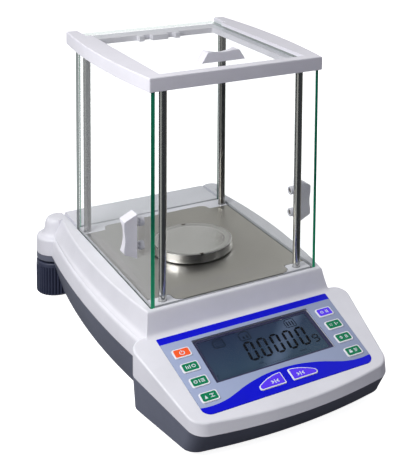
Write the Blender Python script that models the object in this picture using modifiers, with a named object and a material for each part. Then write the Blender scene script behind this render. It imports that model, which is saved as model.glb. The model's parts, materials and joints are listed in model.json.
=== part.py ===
"""Analytical balance with a glass draft shield.

An electronic balance with a two-part moulded housing, a sloping keypad and
display block in front, a glass weighing chamber with three sliding doors on
four steel columns, and two knurled levelling feet under the rear corners.

Frame: metres, +Z up, the user stands on the -Y side and +X is to the user's
right.  The origin is on the table, in the middle of the balance's footprint.
The sizes below are millimetres from the pan's axis, and MM turns them into
metres.  Pieces on the keypad are placed in the keypad plane: x to the right,
y up the slope, z out of the plane.
"""
import math

import bmesh
import bpy
from mathutils import Vector

MM = 0.001
GAP = 0.3                      # assembly gap between neighbouring pieces
OVERCUT = 5.0                  # how far most cutters reach past the surface they open
SIDES = ((-1, "left"), (1, "right"))
ALONG_Y = (math.pi / 2, 0, 0)              # stands an XY outline up in the XZ plane
ALONG_X = (math.pi / 2, 0, math.pi / 2)    # stands an XY outline up in the YZ plane

# ---------------------------------------------------------------- main sizes
FLOOR_Z = 6.0                  # underside of the lower housing
FLOOR_EDGE_Z = 7.5             # top of the chamfer round the underside
CAVITY_Z = 9.0                 # inner floor of the housing
PARTING_Z = 40.0               # joint between the housings, front end of the rear body
LINE_RISE = 0.0172             # climb of the parting line and the ledge, per mm rearwards
DECK_Z = 80.0                  # top of the rear body, the chamber floor
DECK_THICK = 6.5
CEILING_Z = DECK_Z - DECK_THICK
WALL = 3.0

# Front block; its top is the sloping keypad plane
PANEL_Y, PANEL_Z = -159.6, 48.25     # middle of the keypad plane
PANEL_TILT = math.radians(14.0)
BLOCK_REAR_Y = -107.5
BLOCK_FRONT_Y = -222.0
BLOCK_BASE_FRONT_Y = BLOCK_FRONT_Y + 10.0   # front edge at the underside

FRAME_Z0, FRAME_Z1 = 272.6, 285.3    # top frame of the chamber
GLASS = 3.0
GROOVE_DEPTH = 3.3
PAN_HOLE_SEGMENTS = 32

FOOT_X, FOOT_Y = 90.3, 147.2         # levelling feet
KNOB_R = 22.0
STUD_R = 4.6
FRONT_FOOT_X, FRONT_FOOT_Y = 78.0, -182.0

COLUMN_R = 3.6
SOCKET_R = COLUMN_R + 0.25
SOCKET_DEPTH, CAP_DEPTH = 4.0, 4.6   # column holes in the deck and in the top frame
COLUMNS = {
    "column_front_left": (-68.3, -88.3), "column_front_right": (68.3, -88.3),
    "column_rear_left": (-76.0, 90.8), "column_rear_right": (76.0, 90.8),
}
SCREWS = {
    "housing_screw_front_left": (-93.0, -126.0), "housing_screw_front_right": (93.0, -126.0),
    "housing_screw_rear_left": (-58.0, 140.0), "housing_screw_rear_right": (58.0, 140.0),
}

# -------------------------------------------------------------------- scene
for old in list(bpy.data.objects):
    bpy.data.objects.remove(old, do_unlink=True)
PARTS = bpy.data.collections.new("analytical_balance")
CUTTERS = bpy.data.collections.new("cutters")
for collection in (PARTS, CUTTERS):
    bpy.context.scene.collection.children.link(collection)


def empty(name, loc, rot=(0, 0, 0), parent=None):
    obj = bpy.data.objects.new(name, None)
    obj.empty_display_size = 0.02
    obj.location = Vector(loc) * MM
    obj.rotation_euler = rot
    obj.parent = parent
    PARTS.objects.link(obj)
    return obj


# Every piece hangs from this empty, which stands under the pan's axis.  The
# footprint runs from the front block's nose to the rear of the knobs.
ROOT = empty("pan_axis", (0, -(BLOCK_FRONT_Y + FOOT_Y + KNOB_R) / 2, 0))


# ---------------------------------------------------------------- materials
def material(name, rgb, roughness, metallic=0.0, alpha=1.0, transmission=0.0):
    mat = bpy.data.materials.new(name)
    mat.use_nodes = True
    inputs = mat.node_tree.nodes["Principled BSDF"].inputs
    inputs["Base Color"].default_value = (*rgb, 1.0)
    inputs["Roughness"].default_value = roughness
    inputs["Metallic"].default_value = metallic
    inputs["Alpha"].default_value = alpha
    inputs["Transmission Weight"].default_value = transmission
    mat.diffuse_color = (*rgb, alpha)
    return mat


WHITE = material("white_housing", rgb=(0.76, 0.76, 0.81), roughness=0.42)
GREY = material("grey_housing", rgb=(0.11, 0.12, 0.14), roughness=0.5)
NAVY = material("foot_plastic", rgb=(0.025, 0.032, 0.06), roughness=0.45)
RUBBER = material("black_rubber", rgb=(0.02, 0.02, 0.02), roughness=0.8)
STEEL = material("brushed_steel", rgb=(0.46, 0.44, 0.41), roughness=0.3, metallic=1.0)
POLISHED = material("polished_steel", rgb=(0.35, 0.34, 0.33), roughness=0.16, metallic=1.0)
CLEAR = material("shield_glass", rgb=(0.85, 0.95, 0.92), roughness=0.03, alpha=0.25,
                 transmission=0.9)
FRAME_PLASTIC = material("frame_plastic", rgb=(0.78, 0.78, 0.82), roughness=0.4)
FILM = material("keypad_film", rgb=(0.34, 0.40, 0.62), roughness=0.35)
WINDOW = material("display_window", rgb=(0.75, 0.82, 0.9), roughness=0.05, alpha=0.3,
                  transmission=0.9)
BEZEL = material("display_bezel", rgb=(0.04, 0.04, 0.09), roughness=0.4)
LCD = material("lcd_panel", rgb=(0.06, 0.10, 0.17), roughness=0.3)
ORANGE = material("key_orange", rgb=(1.0, 0.12, 0.03), roughness=0.4)
GREEN = material("key_green", rgb=(0.0, 0.22, 0.08), roughness=0.4)
VIOLET = material("key_violet", rgb=(0.13, 0.04, 1.0), roughness=0.4)
PCB = material("circuit_board", rgb=(0.02, 0.16, 0.06), roughness=0.5)
CAST = material("cast_aluminium", rgb=(0.55, 0.56, 0.57), roughness=0.45, metallic=1.0)
IRON = material("magnet_steel", rgb=(0.25, 0.25, 0.26), roughness=0.4, metallic=1.0)
COPPER = material("coil_copper", rgb=(0.65, 0.26, 0.12), roughness=0.35, metallic=1.0)
LAMINATE = material("core_laminations", rgb=(0.16, 0.15, 0.15), roughness=0.5, metallic=0.6)
BLACK = material("black_plastic", rgb=(0.02, 0.02, 0.022), roughness=0.4)
ZINC = material("zinc_screw", rgb=(0.6, 0.6, 0.58), roughness=0.3, metallic=1.0)


# ----------------------------------------------------------------- builders
def place(name, mesh, mat, loc, parent, rot):
    """Object at loc in its parent's frame, by default the pan axis; no mat makes a cutter."""
    obj = bpy.data.objects.new(name, mesh)
    obj.location = Vector(loc) * MM
    obj.rotation_euler = rot
    obj.parent = parent or ROOT
    if mat:
        mesh.materials.append(mat)
        PARTS.objects.link(obj)
    else:
        CUTTERS.objects.link(obj)
        obj.hide_render = True
        obj.display_type = 'WIRE'
    return obj


def mesh_from(name, bm):
    mesh = bpy.data.meshes.new(name)
    bm.to_mesh(mesh)
    bm.free()
    return mesh


def finish(name, bm, mat, loc, parent, smooth_angle=None, rot=(0, 0, 0)):
    """Turns a bmesh in millimetres into a named object."""
    bmesh.ops.scale(bm, vec=(MM, MM, MM), verts=bm.verts)
    bmesh.ops.recalc_face_normals(bm, faces=bm.faces)
    mesh = mesh_from(name, bm)
    obj = place(name, mesh, mat, loc, parent, rot)
    if smooth_angle:
        mesh.shade_smooth()
        mesh.set_sharp_from_angle(angle=math.radians(smooth_angle))
    return obj


def box(name, low, high, mat=None, loc=(0, 0, 0), parent=None):
    bm = bmesh.new()
    bmesh.ops.create_cube(bm, size=1.0)
    low, high = Vector(low), Vector(high)
    bmesh.ops.scale(bm, vec=high - low, verts=bm.verts)
    bmesh.ops.translate(bm, vec=(low + high) / 2, verts=bm.verts)
    return finish(name, bm, mat, loc, parent)


def cylinder(name, radius, z0, z1, mat=None, loc=(0, 0, 0), parent=None, segs=24,
             rot=(0, 0, 0)):
    bm = bmesh.new()
    bmesh.ops.create_cone(bm, cap_ends=True, segments=segs, radius1=radius, radius2=radius,
                          depth=z1 - z0)
    bmesh.ops.translate(bm, vec=(0, 0, (z0 + z1) / 2), verts=bm.verts)
    return finish(name, bm, mat, loc, parent, 40, rot)


def prism(name, outline, z0, z1, mat=None, loc=(0, 0, 0), parent=None, rot=(0, 0, 0)):
    """Flat outline in XY, extruded from z0 to z1."""
    bm = bmesh.new()
    face = bm.faces.new([bm.verts.new((x, y, z0)) for x, y in outline])
    extruded = bmesh.ops.extrude_face_region(bm, geom=[face])
    top = [item for item in extruded["geom"] if isinstance(item, bmesh.types.BMVert)]
    bmesh.ops.translate(bm, vec=(0, 0, z1 - z0), verts=top)
    return finish(name, bm, mat, loc, parent, 40, rot)


def loft(name, rings, mat=None, parent=None):
    """Skin over rings that hold the same number of points, capped at both ends."""
    bm = bmesh.new()
    rows = [[bm.verts.new(point) for point in ring] for ring in rings]
    count = len(rows[0])
    for below, above in zip(rows, rows[1:]):
        for i in range(count):
            j = (i + 1) % count
            bm.faces.new((below[i], below[j], above[j], above[i]))
    bm.faces.new(list(reversed(rows[0])))
    bm.faces.new(rows[-1])
    return finish(name, bm, mat, (0, 0, 0), parent, 35)


def lathe(name, profile, mat=None, loc=(0, 0, 0), parent=None, segs=40, rot=(0, 0, 0)):
    """Turned piece from (radius, height) points; a profile off the axis is closed."""
    bm = bmesh.new()
    verts = [bm.verts.new((radius * MM, 0, z * MM)) for radius, z in profile]
    for start, end in zip(verts, verts[1:]):
        bm.edges.new((start, end))
    if profile[0][0] > 0:
        bm.edges.new((verts[-1], verts[0]))
    obj = place(name, mesh_from(name, bm), mat, loc, parent, rot)
    turn = obj.modifiers.new("turn", 'SCREW')
    turn.axis = 'Z'
    turn.angle = math.tau
    turn.steps = turn.render_steps = segs
    turn.use_merge_vertices = True
    turn.merge_threshold = 0.00001
    turn.use_smooth_shade = True
    return obj


def boolean(obj, operation, tools):
    for tool in tools:
        modifier = obj.modifiers.new(operation.lower(), 'BOOLEAN')
        modifier.operation = operation
        modifier.object = tool
        modifier.solver = 'EXACT'


def cut(obj, *tools):
    boolean(obj, 'DIFFERENCE', tools)


def join(obj, *tools):
    boolean(obj, 'UNION', tools)


def bevel(obj, width, segments, angle=40):
    modifier = obj.modifiers.new("edges", 'BEVEL')
    modifier.width = width * MM
    modifier.segments = segments
    modifier.limit_method = 'ANGLE'
    modifier.angle_limit = math.radians(angle)


# ----------------------------------------------------------------- outlines
def rounded(points, radii, steps=5):
    """Polygon with its corners replaced by arcs of steps + 1 points."""
    result = []
    for i, (point, radius) in enumerate(zip(points, radii)):
        corner = Vector(point)
        if radius <= 0:
            result.append(tuple(corner))
            continue
        back = (Vector(points[i - 1]) - corner).normalized()
        ahead = (Vector(points[(i + 1) % len(points)]) - corner).normalized()
        half = back.angle(ahead) / 2
        reach = radius / math.tan(half)
        centre = corner + (back + ahead).normalized() * (radius / math.sin(half))
        start = corner + back * reach - centre
        end = corner + ahead * reach - centre
        sweep = start.angle_signed(end)
        for k in range(steps + 1):
            angle = -sweep * k / steps
            cos, sin = math.cos(angle), math.sin(angle)
            result.append((centre.x + start.x * cos - start.y * sin,
                           centre.y + start.x * sin + start.y * cos))
    return result


def mirrored(half):
    """Closes a right-hand half outline with its mirror image."""
    return half + [(-x, y) for x, y in reversed(half)]


def rectangle(x0, y0, x1, y1):
    return [(x0, y0), (x1, y0), (x1, y1), (x0, y1)]


# -------------------------------------------------------- rear body surface
# Bowed sides: height, widest half width, bow, y of the widest place,
# front edge, rear edge, rear corner radius
BODY = (
    (FLOOR_Z, 97.0, 5.5e-4, 20.0, -118.0, 157.4, 15.0),
    (PARTING_Z, 106.2, 4.3e-4, 34.0, -118.0, 158.0, 16.0),
    (57.0, 105.2, 4.9e-4, 24.0, -118.0, 158.0, 16.0),
    (61.0, 100.2, 4.0e-4, 38.0, -109.5, 155.5, 14.0),
    (DECK_Z, 97.6, 6.4e-4, 20.0, -102.7, 154.0, 7.0),
)
# Height, share of the climb it takes: none at the base and at the deck
CLIMB = ((FLOOR_Z, 0.0), (FLOOR_EDGE_Z, 0.0), (PARTING_Z, 1.0), (62.0, 1.0),
         (CEILING_Z, 0.0), (90.0, 0.0))
SIDE_STEPS, CORNER_STEPS = 9, 3
# Lofted stations: height, inset from the outer surface
OUTER_BODY = ((FLOOR_Z, 1.5), (FLOOR_EDGE_Z, 0.0), (41.0, 0.0), (55.6, 0.0), (57.3, 1.3),
              (61.2, 0.2), (78.8, 0.0), (DECK_Z, 1.2))
BODY_CAVITY = ((CAVITY_Z, 3.6), (36.0, 3.6), (53.5, WALL), (58.5, 4.0), (62.0, WALL),
               (CEILING_Z, WALL))
LOWER_HOLLOW = ((CAVITY_Z, 3.6), (41.0, WALL))


def stations_around(table, z):
    """The two neighbouring rows of the table that enclose z, and z's share between them."""
    for below, above in zip(table, table[1:]):
        if z <= above[0]:
            break
    return below, above


def climb(z, y):
    """Height of a housing line at y whose height at the front end is z."""
    (z0, share0), (z1, share1) = stations_around(CLIMB, z)
    share = share0 + (share1 - share0) * (z - z0) / (z1 - z0)
    return z + share * LINE_RISE * (y - BLOCK_REAR_Y)


def body_ring(z, inset):
    """Outline of the rear body at nominal height z, drawn inwards by inset."""
    below, above = stations_around(BODY, z)
    share = (z - below[0]) / (above[0] - below[0])
    _, half_width, bow, widest_y, front, rear, radius = [
        low + (high - low) * share for low, high in zip(below, above)]
    front, rear, radius = front + inset, rear - inset, max(radius - inset, 2.0)
    side_end = rear - radius
    ys = [front + (side_end - front) * i / SIDE_STEPS for i in range(SIDE_STEPS + 1)]
    half = [(half_width - inset - bow * (y - widest_y) ** 2, y) for y in ys]
    centre_x = half[-1][0] - radius
    for i in range(1, CORNER_STEPS + 1):
        angle = math.pi / 2 * i / CORNER_STEPS
        half.append((centre_x + radius * math.cos(angle), side_end + radius * math.sin(angle)))
    return [(x, y, climb(z, y)) for x, y in mirrored(half)]


def body_loft(name, stations, mat=None):
    return loft(name, [body_ring(z, inset) for z, inset in stations], mat)


# ------------------------------------------------------ front block surface
NOSE_R = 406.0                 # plan radius of the bowed front edge
NOSE_X = (66.0, 50.0, 34.0, 17.0)    # points on the bow, towards the middle
NOSE_LEAD = 30.0               # width over which the bow's direction is taken at the corner
HALF_WIDTH_Y = 10.5            # distance behind the nose that sets the front corner's x
BLOCK_HALF = 107.5             # half width at WIDTH_Y
WIDTH_Y = -120.0
BLOCK_TAPER = 0.1706           # half width lost per mm towards the user
REAR_CORNER_R, FRONT_CORNER_R = 13.0, 17.0
SIDE_RUN = 60.0                # length of side that gives its direction at a corner
JOINT_Z, JOINT_SLOPE = 37.0, 0.105   # joint between the housings, at BLOCK_REAR_Y


def block_outline(inset, front):
    """Plan of the front block: bowed front edge, tapered sides, round corners."""
    front += inset
    rear = BLOCK_REAR_Y - inset

    def side(y):
        return BLOCK_HALF + (y - WIDTH_Y) * BLOCK_TAPER - inset

    x = side(front + HALF_WIDTH_Y)
    nose = front + x * x / (2 * NOSE_R)
    lead = (x - NOSE_LEAD, nose - NOSE_LEAD * x / NOSE_R)
    rear_arc = rounded([(0.0, rear), (side(rear), rear), (side(rear - SIDE_RUN), rear - SIDE_RUN)],
                       [0, REAR_CORNER_R - inset, 0])[1:-1]
    front_arc = rounded([(side(nose + SIDE_RUN), nose + SIDE_RUN), (x, nose), lead],
                        [0, FRONT_CORNER_R - inset, 0])[1:-1]
    bow = [(bow_x, front + bow_x * bow_x / (2 * NOSE_R)) for bow_x in NOSE_X]
    half = rear_arc + front_arc + bow
    return half + [(0.0, front)] + [(-x, y) for x, y in reversed(half)]


def block_ring(inset, height, front=BLOCK_FRONT_Y):
    return [(x, y, height(y)) for x, y in block_outline(inset, front)]


def panel_height(y, depth=0.0):
    """Height of the keypad plane at y, or of a plane depth below it."""
    return PANEL_Z + (y - PANEL_Y) * math.tan(PANEL_TILT) - depth / math.cos(PANEL_TILT)


def block_joint(y):
    return JOINT_Z + (y - BLOCK_REAR_Y) * JOINT_SLOPE


def body_joint(y):
    return climb(PARTING_Z, y)


def joint_at_screw(y):
    """Height of the joint at a screw: front screws in the block, rear ones in the body."""
    return block_joint(y) if y < 0 else body_joint(y)


def make_block_volume():
    return loft("block_volume", [
        block_ring(3.3, lambda y: FLOOR_Z, BLOCK_BASE_FRONT_Y),
        block_ring(1.8, lambda y: FLOOR_EDGE_Z, BLOCK_BASE_FRONT_Y),
        block_ring(0.0, block_joint),
        block_ring(0.0, lambda y: panel_height(y, 3.2)),
        block_ring(0.9, lambda y: panel_height(y, 0.9)),
        block_ring(3.2, panel_height)])


def make_block_cavity():
    return loft("cavity_block", [
        block_ring(5.0, lambda y: CAVITY_Z, BLOCK_BASE_FRONT_Y),
        block_ring(WALL, lambda y: block_joint(y) + 3.0),
        block_ring(WALL, lambda y: panel_height(y, 3.2))])


# ------------------------------------------------------------ housing zones
STEP_Y = -107.0                # where the joint steps from the block to the rear body
ZONE_Y0, ZONE_Y1 = -260, 200
ZONE_Z0, ZONE_Z1 = -10, 130
ZONE_HALF = 130


def make_upper_zone():
    """Everything above the joint."""
    outline = [(ZONE_Y0, block_joint(ZONE_Y0)), (STEP_Y, block_joint(STEP_Y)),
               (STEP_Y, body_joint(STEP_Y)), (ZONE_Y1, body_joint(ZONE_Y1)),
               (ZONE_Y1, ZONE_Z1), (ZONE_Y0, ZONE_Z1)]
    return prism("upper_zone", outline, -ZONE_HALF, ZONE_HALF, rot=ALONG_X)


def make_lower_zone():
    """Everything below the joint, an assembly gap clear of the upper zone."""
    step = STEP_Y + GAP
    outline = [(ZONE_Y0, ZONE_Z0), (ZONE_Y1, ZONE_Z0), (ZONE_Y1, body_joint(ZONE_Y1) - GAP),
               (step, body_joint(step) - GAP), (step, block_joint(step) - GAP),
               (ZONE_Y0, block_joint(ZONE_Y0) - GAP)]
    return prism("lower_zone", outline, -ZONE_HALF, ZONE_HALF, rot=ALONG_X)


# ------------------------------------------------- glass tracks and sockets
DOOR_X = 81.8                  # mid-plane of the side doors
DOOR_Y0, DOOR_Y1 = -98.5, 103.6
FRONT_GLASS_Y, REAR_GLASS_Y = -97.0, 106.0
TRACK_HALF = GLASS / 2 + GAP
TRACK_FRONT_Y = FRONT_GLASS_Y - TRACK_HALF
FRONT_TRACK_HALF = 81          # half length of the front track


def glass_tracks(side_name, front_name, rear_name, z0, z1, side_end_y, rear_half):
    """Cutters for the two side tracks, the front track and the rear track."""
    tracks = [box(side_name + side, (sign * DOOR_X - TRACK_HALF, TRACK_FRONT_Y, z0),
                  (sign * DOOR_X + TRACK_HALF, side_end_y, z1)) for sign, side in SIDES]
    for name, half, y in ((front_name, FRONT_TRACK_HALF, FRONT_GLASS_Y),
                          (rear_name, rear_half, REAR_GLASS_Y)):
        tracks.append(box(name, (-half, y - TRACK_HALF, z0), (half, y + TRACK_HALF, z1)))
    return tracks


def column_holes(prefix, z0, z1):
    return [cylinder(prefix + name, SOCKET_R, z0, z1, loc=(x, y, 0))
            for name, (x, y) in COLUMNS.items()]


# --------------------------------------------------------- keypad outlines
OVERLAY_TOP_HALF, OVERLAY_LOW_HALF, OVERLAY_Y = 85.0, 80.4, 46.5
WINDOW_HALF, WINDOW_Y0, WINDOW_Y1 = 57.6, -18.0, 34.6
KEY_WIDTH, KEY_HEIGHT, KEY_R = 16.0, 11.0, 2.0
KEY_HOLE_R = 2.2
KEY_TOP, KEY_BOTTOM = 0.95, -4.2
KEY_HOLE_Z = (-9, 3)
# Right-hand column of keys, top row first: x, y of the key's middle
KEY_PLACES = ((70.8, 23.8), (70.5, 6.3), (70.1, -11.2), (69.3, -29.1))
KEYS = [("key_%s_%d" % (side, row), sign * x, y)
        for sign, side in SIDES for row, (x, y) in enumerate(KEY_PLACES, 1)]
WING_TIP, WING_ROOT, WING_LOW = 28.3, 3.3, -40.2    # outer, inner and lower edges
WING_TOP, WING_BOW = -26.9, 0.0143                  # upper edge at the root, and its bow


def overlay_outline(grow=0.0):
    top, low, y = OVERLAY_TOP_HALF + grow, OVERLAY_LOW_HALF + grow, OVERLAY_Y + grow
    return rounded([(-low, -y), (low, -y), (top, y), (-top, y)],
                   [8.0 + grow, 8.0 + grow, 1.0 + grow, 1.0 + grow], 4)


def window_outline(grow=0.0):
    return rectangle(-WINDOW_HALF - grow, WINDOW_Y0 - grow, WINDOW_HALF + grow, WINDOW_Y1 + grow)


def key_outline(radius, grow=0.0):
    half_x, half_y = KEY_WIDTH / 2 + grow, KEY_HEIGHT / 2 + grow
    return rounded(rectangle(-half_x, -half_y, half_x, half_y), [radius] * 4, 2)


def wing_outline(sign, grow=0.0):
    """Wing-shaped tare key: straight inner and lower edges, bowed upper edge."""
    tip, root, low = WING_TIP + grow, WING_ROOT - grow, WING_LOW - grow
    xs = [root + (tip - 1.5 - root) * i / 8 for i in range(9)]
    points = [(x, WING_TOP + grow - WING_BOW * (x - WING_ROOT) ** 2) for x in xs]
    points += [(tip, low + 3.6), (tip - 1.2, low + 1.0), (tip - 3.6, low),
               (root + 0.6, low), (root, low + 0.6)]
    points = [(sign * x, y) for x, y in points]
    return points if sign < 0 else list(reversed(points))


def make_key_holes(panel):
    """Cutters for the round-cornered keys and the two wing-shaped tare keys."""
    holes = [prism("hole_" + name, key_outline(KEY_HOLE_R, GAP), *KEY_HOLE_Z, loc=(x, y, 0),
                   parent=panel) for name, x, y in KEYS]
    holes += [prism("hole_tare_" + side, wing_outline(sign, GAP), *KEY_HOLE_Z, parent=panel)
              for sign, side in SIDES]
    return holes


# ------------------------------------------------------------ floor outline
PLATE_HALF = 79.4
PLATE_Y0, PLATE_Y1 = -94.6, 95.5
NOTCH_X, NOTCH_Y0, NOTCH_Y1 = 58.0, -81.0, 84.0
PLATE_CORNER_R, NOTCH_R = 8.0, 3.0


def plate_outline(grow=0.0):
    """Chamber floor plate: a rectangle with a round-cornered notch at each column."""
    notch_x, side_x = NOTCH_X + grow, PLATE_HALF + grow
    half = [(notch_x, PLATE_Y0 - grow), (notch_x, NOTCH_Y0 - grow), (side_x, NOTCH_Y0 - grow),
            (side_x, NOTCH_Y1 + grow), (notch_x, NOTCH_Y1 + grow), (notch_x, PLATE_Y1 + grow)]
    radii = [PLATE_CORNER_R, NOTCH_R, 0.0, 0.0, NOTCH_R, PLATE_CORNER_R]
    return rounded(mirrored(half), radii * 2)


# ----------------------------------------------------------------- housings
COLLAR_R, COLLAR_Z0, COLLAR_Z1 = 21.5, 38.0, 61.4
# Tower over a levelling foot: radius, height
TOWER = [(0, 79.6), (7.4, 79.4), (9.8, 78.4), (11.6, 76.2), (12.6, 73.4), (15.0, 62.2),
         (19.8, COLLAR_Z1), (COLLAR_R, COLLAR_Z1 - 1.8), (COLLAR_R, COLLAR_Z0), (0, COLLAR_Z0)]
STUD_WELL_R = 10.0
BOSS_R, POST_R, SCREW_HOLE_R, SCREW_SINK_R = 4.6, 5.6, 1.8, 3.9
SCREW_SINK_TOP = 16.0
BOSS_HOLE_DEPTH = 12.5
PAN_OPENING_R = 13.0
DECK_CUT_TOP = DECK_Z + OVERCUT
HOUSING_CUT_Y0, HOUSING_CUT_Y1 = 140, 175    # rear wall cutters; side tracks end at the second
# Rear connectors: x from, x to, z from, z to
INLET = (-46, -18, 14, 34)
PORT = (17, 41, 17, 27)


def make_towers():
    return [lathe("tower_" + side, TOWER, loc=(sign * FOOT_X, FOOT_Y, 0), segs=28)
            for sign, side in SIDES]


def add_screw_bosses(housing):
    for name, (x, y) in SCREWS.items():
        z0 = joint_at_screw(y)
        z1 = panel_height(y, 1.5) if y < 0 else CEILING_Z + 1
        join(housing, cylinder("boss_" + name, BOSS_R, z0, z1, loc=(x, y, 0), segs=16))
        cut(housing, cylinder("boss_hole_" + name, SCREW_HOLE_R, z0 - OVERCUT,
                              z0 + BOSS_HOLE_DEPTH, loc=(x, y, 0), segs=12))


def make_upper_housing(block, towers, cavity_block, key_holes, panel):
    upper = body_loft("upper_housing", OUTER_BODY, WHITE)
    join(upper, block, *towers)
    cut(upper, body_loft("cavity_body", BODY_CAVITY), cavity_block)
    boolean(upper, 'INTERSECT', [make_upper_zone()])
    for sign, side in SIDES:
        cut(upper, cylinder("stud_well_" + side, STUD_WELL_R, 20.0, 70.0,
                            loc=(sign * FOOT_X, FOOT_Y, 0)))
    add_screw_bosses(upper)
    cut(upper,
        prism("plate_recess", plate_outline(2 * GAP), DECK_Z - 1.2, DECK_CUT_TOP),
        cylinder("pan_opening", PAN_OPENING_R, DECK_Z - 20, DECK_CUT_TOP,
                 segs=PAN_HOLE_SEGMENTS),
        *glass_tracks("door_track_", "front_glass_track", "rear_glass_track",
                      DECK_Z - GROOVE_DEPTH, DECK_CUT_TOP, HOUSING_CUT_Y1, rear_half=81),
        *column_holes("socket_", DECK_Z - SOCKET_DEPTH, DECK_CUT_TOP),
        prism("overlay_recess", overlay_outline(GAP), -1.1, 8, parent=panel),
        prism("display_opening", window_outline(GAP), -12, 2, parent=panel),
        *key_holes)


def make_lower_hollow():
    """Hollow of the rear body, less the material kept round the levelling feet."""
    hollow = body_loft("hollow_body", LOWER_HOLLOW)
    for sign, side in SIDES:
        cut(hollow, cylinder("foot_keep_" + side, KNOB_R + WALL, 0, 65,
                             loc=(sign * FOOT_X, FOOT_Y, 0), segs=32))
    return hollow


def add_screw_posts(housing):
    for name, (x, y) in SCREWS.items():
        top = joint_at_screw(y) - 2 * GAP
        join(housing, cylinder("post_" + name, POST_R, 7.0, top, loc=(x, y, 0), segs=20))
        cut(housing,
            cylinder("post_hole_" + name, SCREW_HOLE_R, 0, top + OVERCUT, loc=(x, y, 0), segs=12),
            cylinder("post_sink_" + name, SCREW_SINK_R, 0, SCREW_SINK_TOP, loc=(x, y, 0), segs=16))


def connector_cutout(name, x0, x1, z0, z1):
    return box(name, (x0 - GAP, HOUSING_CUT_Y0, z0 - GAP), (x1 + GAP, HOUSING_CUT_Y1, z1 + GAP))


def make_lower_housing(block, towers, cavity_block):
    lower = body_loft("lower_housing", OUTER_BODY, GREY)
    join(lower, block, *towers)
    boolean(lower, 'INTERSECT', [make_lower_zone()])
    cut(lower, make_lower_hollow(), cavity_block)
    for sign, side in SIDES:
        foot = (sign * FOOT_X, FOOT_Y, 0)
        cut(lower,
            cylinder("foot_pocket_" + side, KNOB_R + 2 * GAP, -OVERCUT, COLLAR_Z0, loc=foot,
                     segs=40),
            cylinder("stud_bore_" + side, STUD_R + 0.4, 10, 60, loc=foot),
            cylinder("front_foot_hole_" + side, 3.0, 0, 20,
                     loc=(sign * FRONT_FOOT_X, FRONT_FOOT_Y, 0), segs=16))
    add_screw_posts(lower)
    cut(lower, connector_cutout("inlet_cutout", *INLET), connector_cutout("port_cutout", *PORT))


# ------------------------------------------------- chamber floor and columns
# Raised ring round the pan opening: radius, height
DRAUGHT_RING = [(12.5, DECK_Z + 4.2), (13.5, DECK_Z + 4.2), (13.5, DECK_Z + 0.6),
                (15.0, DECK_Z + 0.05), (15.0, DECK_Z - 0.4), (12.5, DECK_Z - 0.4)]
PLATE_HOLE_R = 12.3


def make_floor_plate():
    plate = prism("floor_plate", plate_outline(), DECK_Z - 0.9, DECK_Z + 0.1, STEEL)
    join(plate, lathe("draught_ring", DRAUGHT_RING, segs=PAN_HOLE_SEGMENTS))
    cut(plate, cylinder("plate_hole", PLATE_HOLE_R, DECK_Z - OVERCUT, DECK_Z + 8,
                        segs=PAN_HOLE_SEGMENTS))


def make_columns():
    for name, (x, y) in COLUMNS.items():
        cylinder(name, COLUMN_R, DECK_Z - SOCKET_DEPTH + GAP, FRAME_Z0 + CAP_DEPTH - GAP,
                 POLISHED, loc=(x, y, 0))


# ---------------------------------------------------------------- top frame
FRAME_Y0, FRAME_Y1 = -101.3, 117.0
FRAME_HALF, FRAME_BOW, FRAME_WIDEST_Y = 94.0, 5.46e-4, 20.0
FRAME_STEPS = 14
LEDGE_Z = 278.2                # ledge that carries the top door
LIP_Z = 281.9                  # underside of the lips over the top door
FRAME_CUT_Y1 = 130             # behind the frame
FRAME_CUT_Z0, FRAME_CUT_Z1 = FRAME_Z0 - OVERCUT, FRAME_Z1 + OVERCUT
# Openings for the chamber and the top door: name, low corner, high corner
FRAME_CUTS = (
    ("frame_window", (-67, -83, FRAME_CUT_Z0), (67, 97, FRAME_CUT_Z1)),
    ("top_door_slot", (-75.6, -94.6, LEDGE_Z), (75.6, FRAME_CUT_Y1, LIP_Z)),
    ("top_opening", (-72.3, -90.5, LEDGE_Z + 1), (72.3, FRAME_CUT_Y1, FRAME_CUT_Z1)),
    ("rear_lip_notch", (-77.6, 87, LEDGE_Z), (77.6, FRAME_CUT_Y1, FRAME_CUT_Z1)),
)
LUGS_X = ((-23, -17), (-8, 8), (17, 23))    # lugs on the rear bar
LUG_Y0, LUG_Y1 = 90, 97.6


def frame_outline():
    ys = [FRAME_Y0 + (FRAME_Y1 - FRAME_Y0) * i / FRAME_STEPS for i in range(FRAME_STEPS + 1)]
    return mirrored([(FRAME_HALF - FRAME_BOW * (y - FRAME_WIDEST_Y) ** 2, y) for y in ys])


def make_top_frame():
    frame = prism("top_frame", frame_outline(), FRAME_Z0, FRAME_Z1, FRAME_PLASTIC)
    bevel(frame, width=1.0, segments=2, angle=50)
    cut(frame, *[box(*opening) for opening in FRAME_CUTS])
    for i, (x0, x1) in enumerate(LUGS_X):
        join(frame, box("stop_lug_%d" % i, (x0, LUG_Y0, FRAME_Z0), (x1, LUG_Y1, LEDGE_Z)))
    cut(frame,
        *glass_tracks("frame_track_", "frame_front_track", "frame_rear_track",
                      FRAME_CUT_Z0, FRAME_Z0 + GROOVE_DEPTH, FRAME_CUT_Y1, rear_half=79),
        *column_holes("cap_", FRAME_CUT_Z0, FRAME_Z0 + CAP_DEPTH))


# ---------------------------------------------------------- glass and doors
GLASS_Z0, GLASS_Z1 = DECK_Z - GROOVE_DEPTH + GAP, FRAME_Z0 + GROOVE_DEPTH - GAP
FRONT_GLASS_HALF, REAR_GLASS_HALF = 79.9, 78.6
HANDLE_HALF = 6.5
HANDLE_Y = -61.0
PEG_Z = (122.5, 144.5)
PEG_HOLE_R = 3.3
BAR_TOP = 12.3                 # how far a side handle stands out from the glass
# Side handle: distance out from the glass, height
SIDE_BAR = [(GAP, 113.6), (GAP, 154.2), (11.6, 148.8), (BAR_TOP, 147.6), (BAR_TOP, 120.4),
            (11.6, 119.2)]
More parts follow.
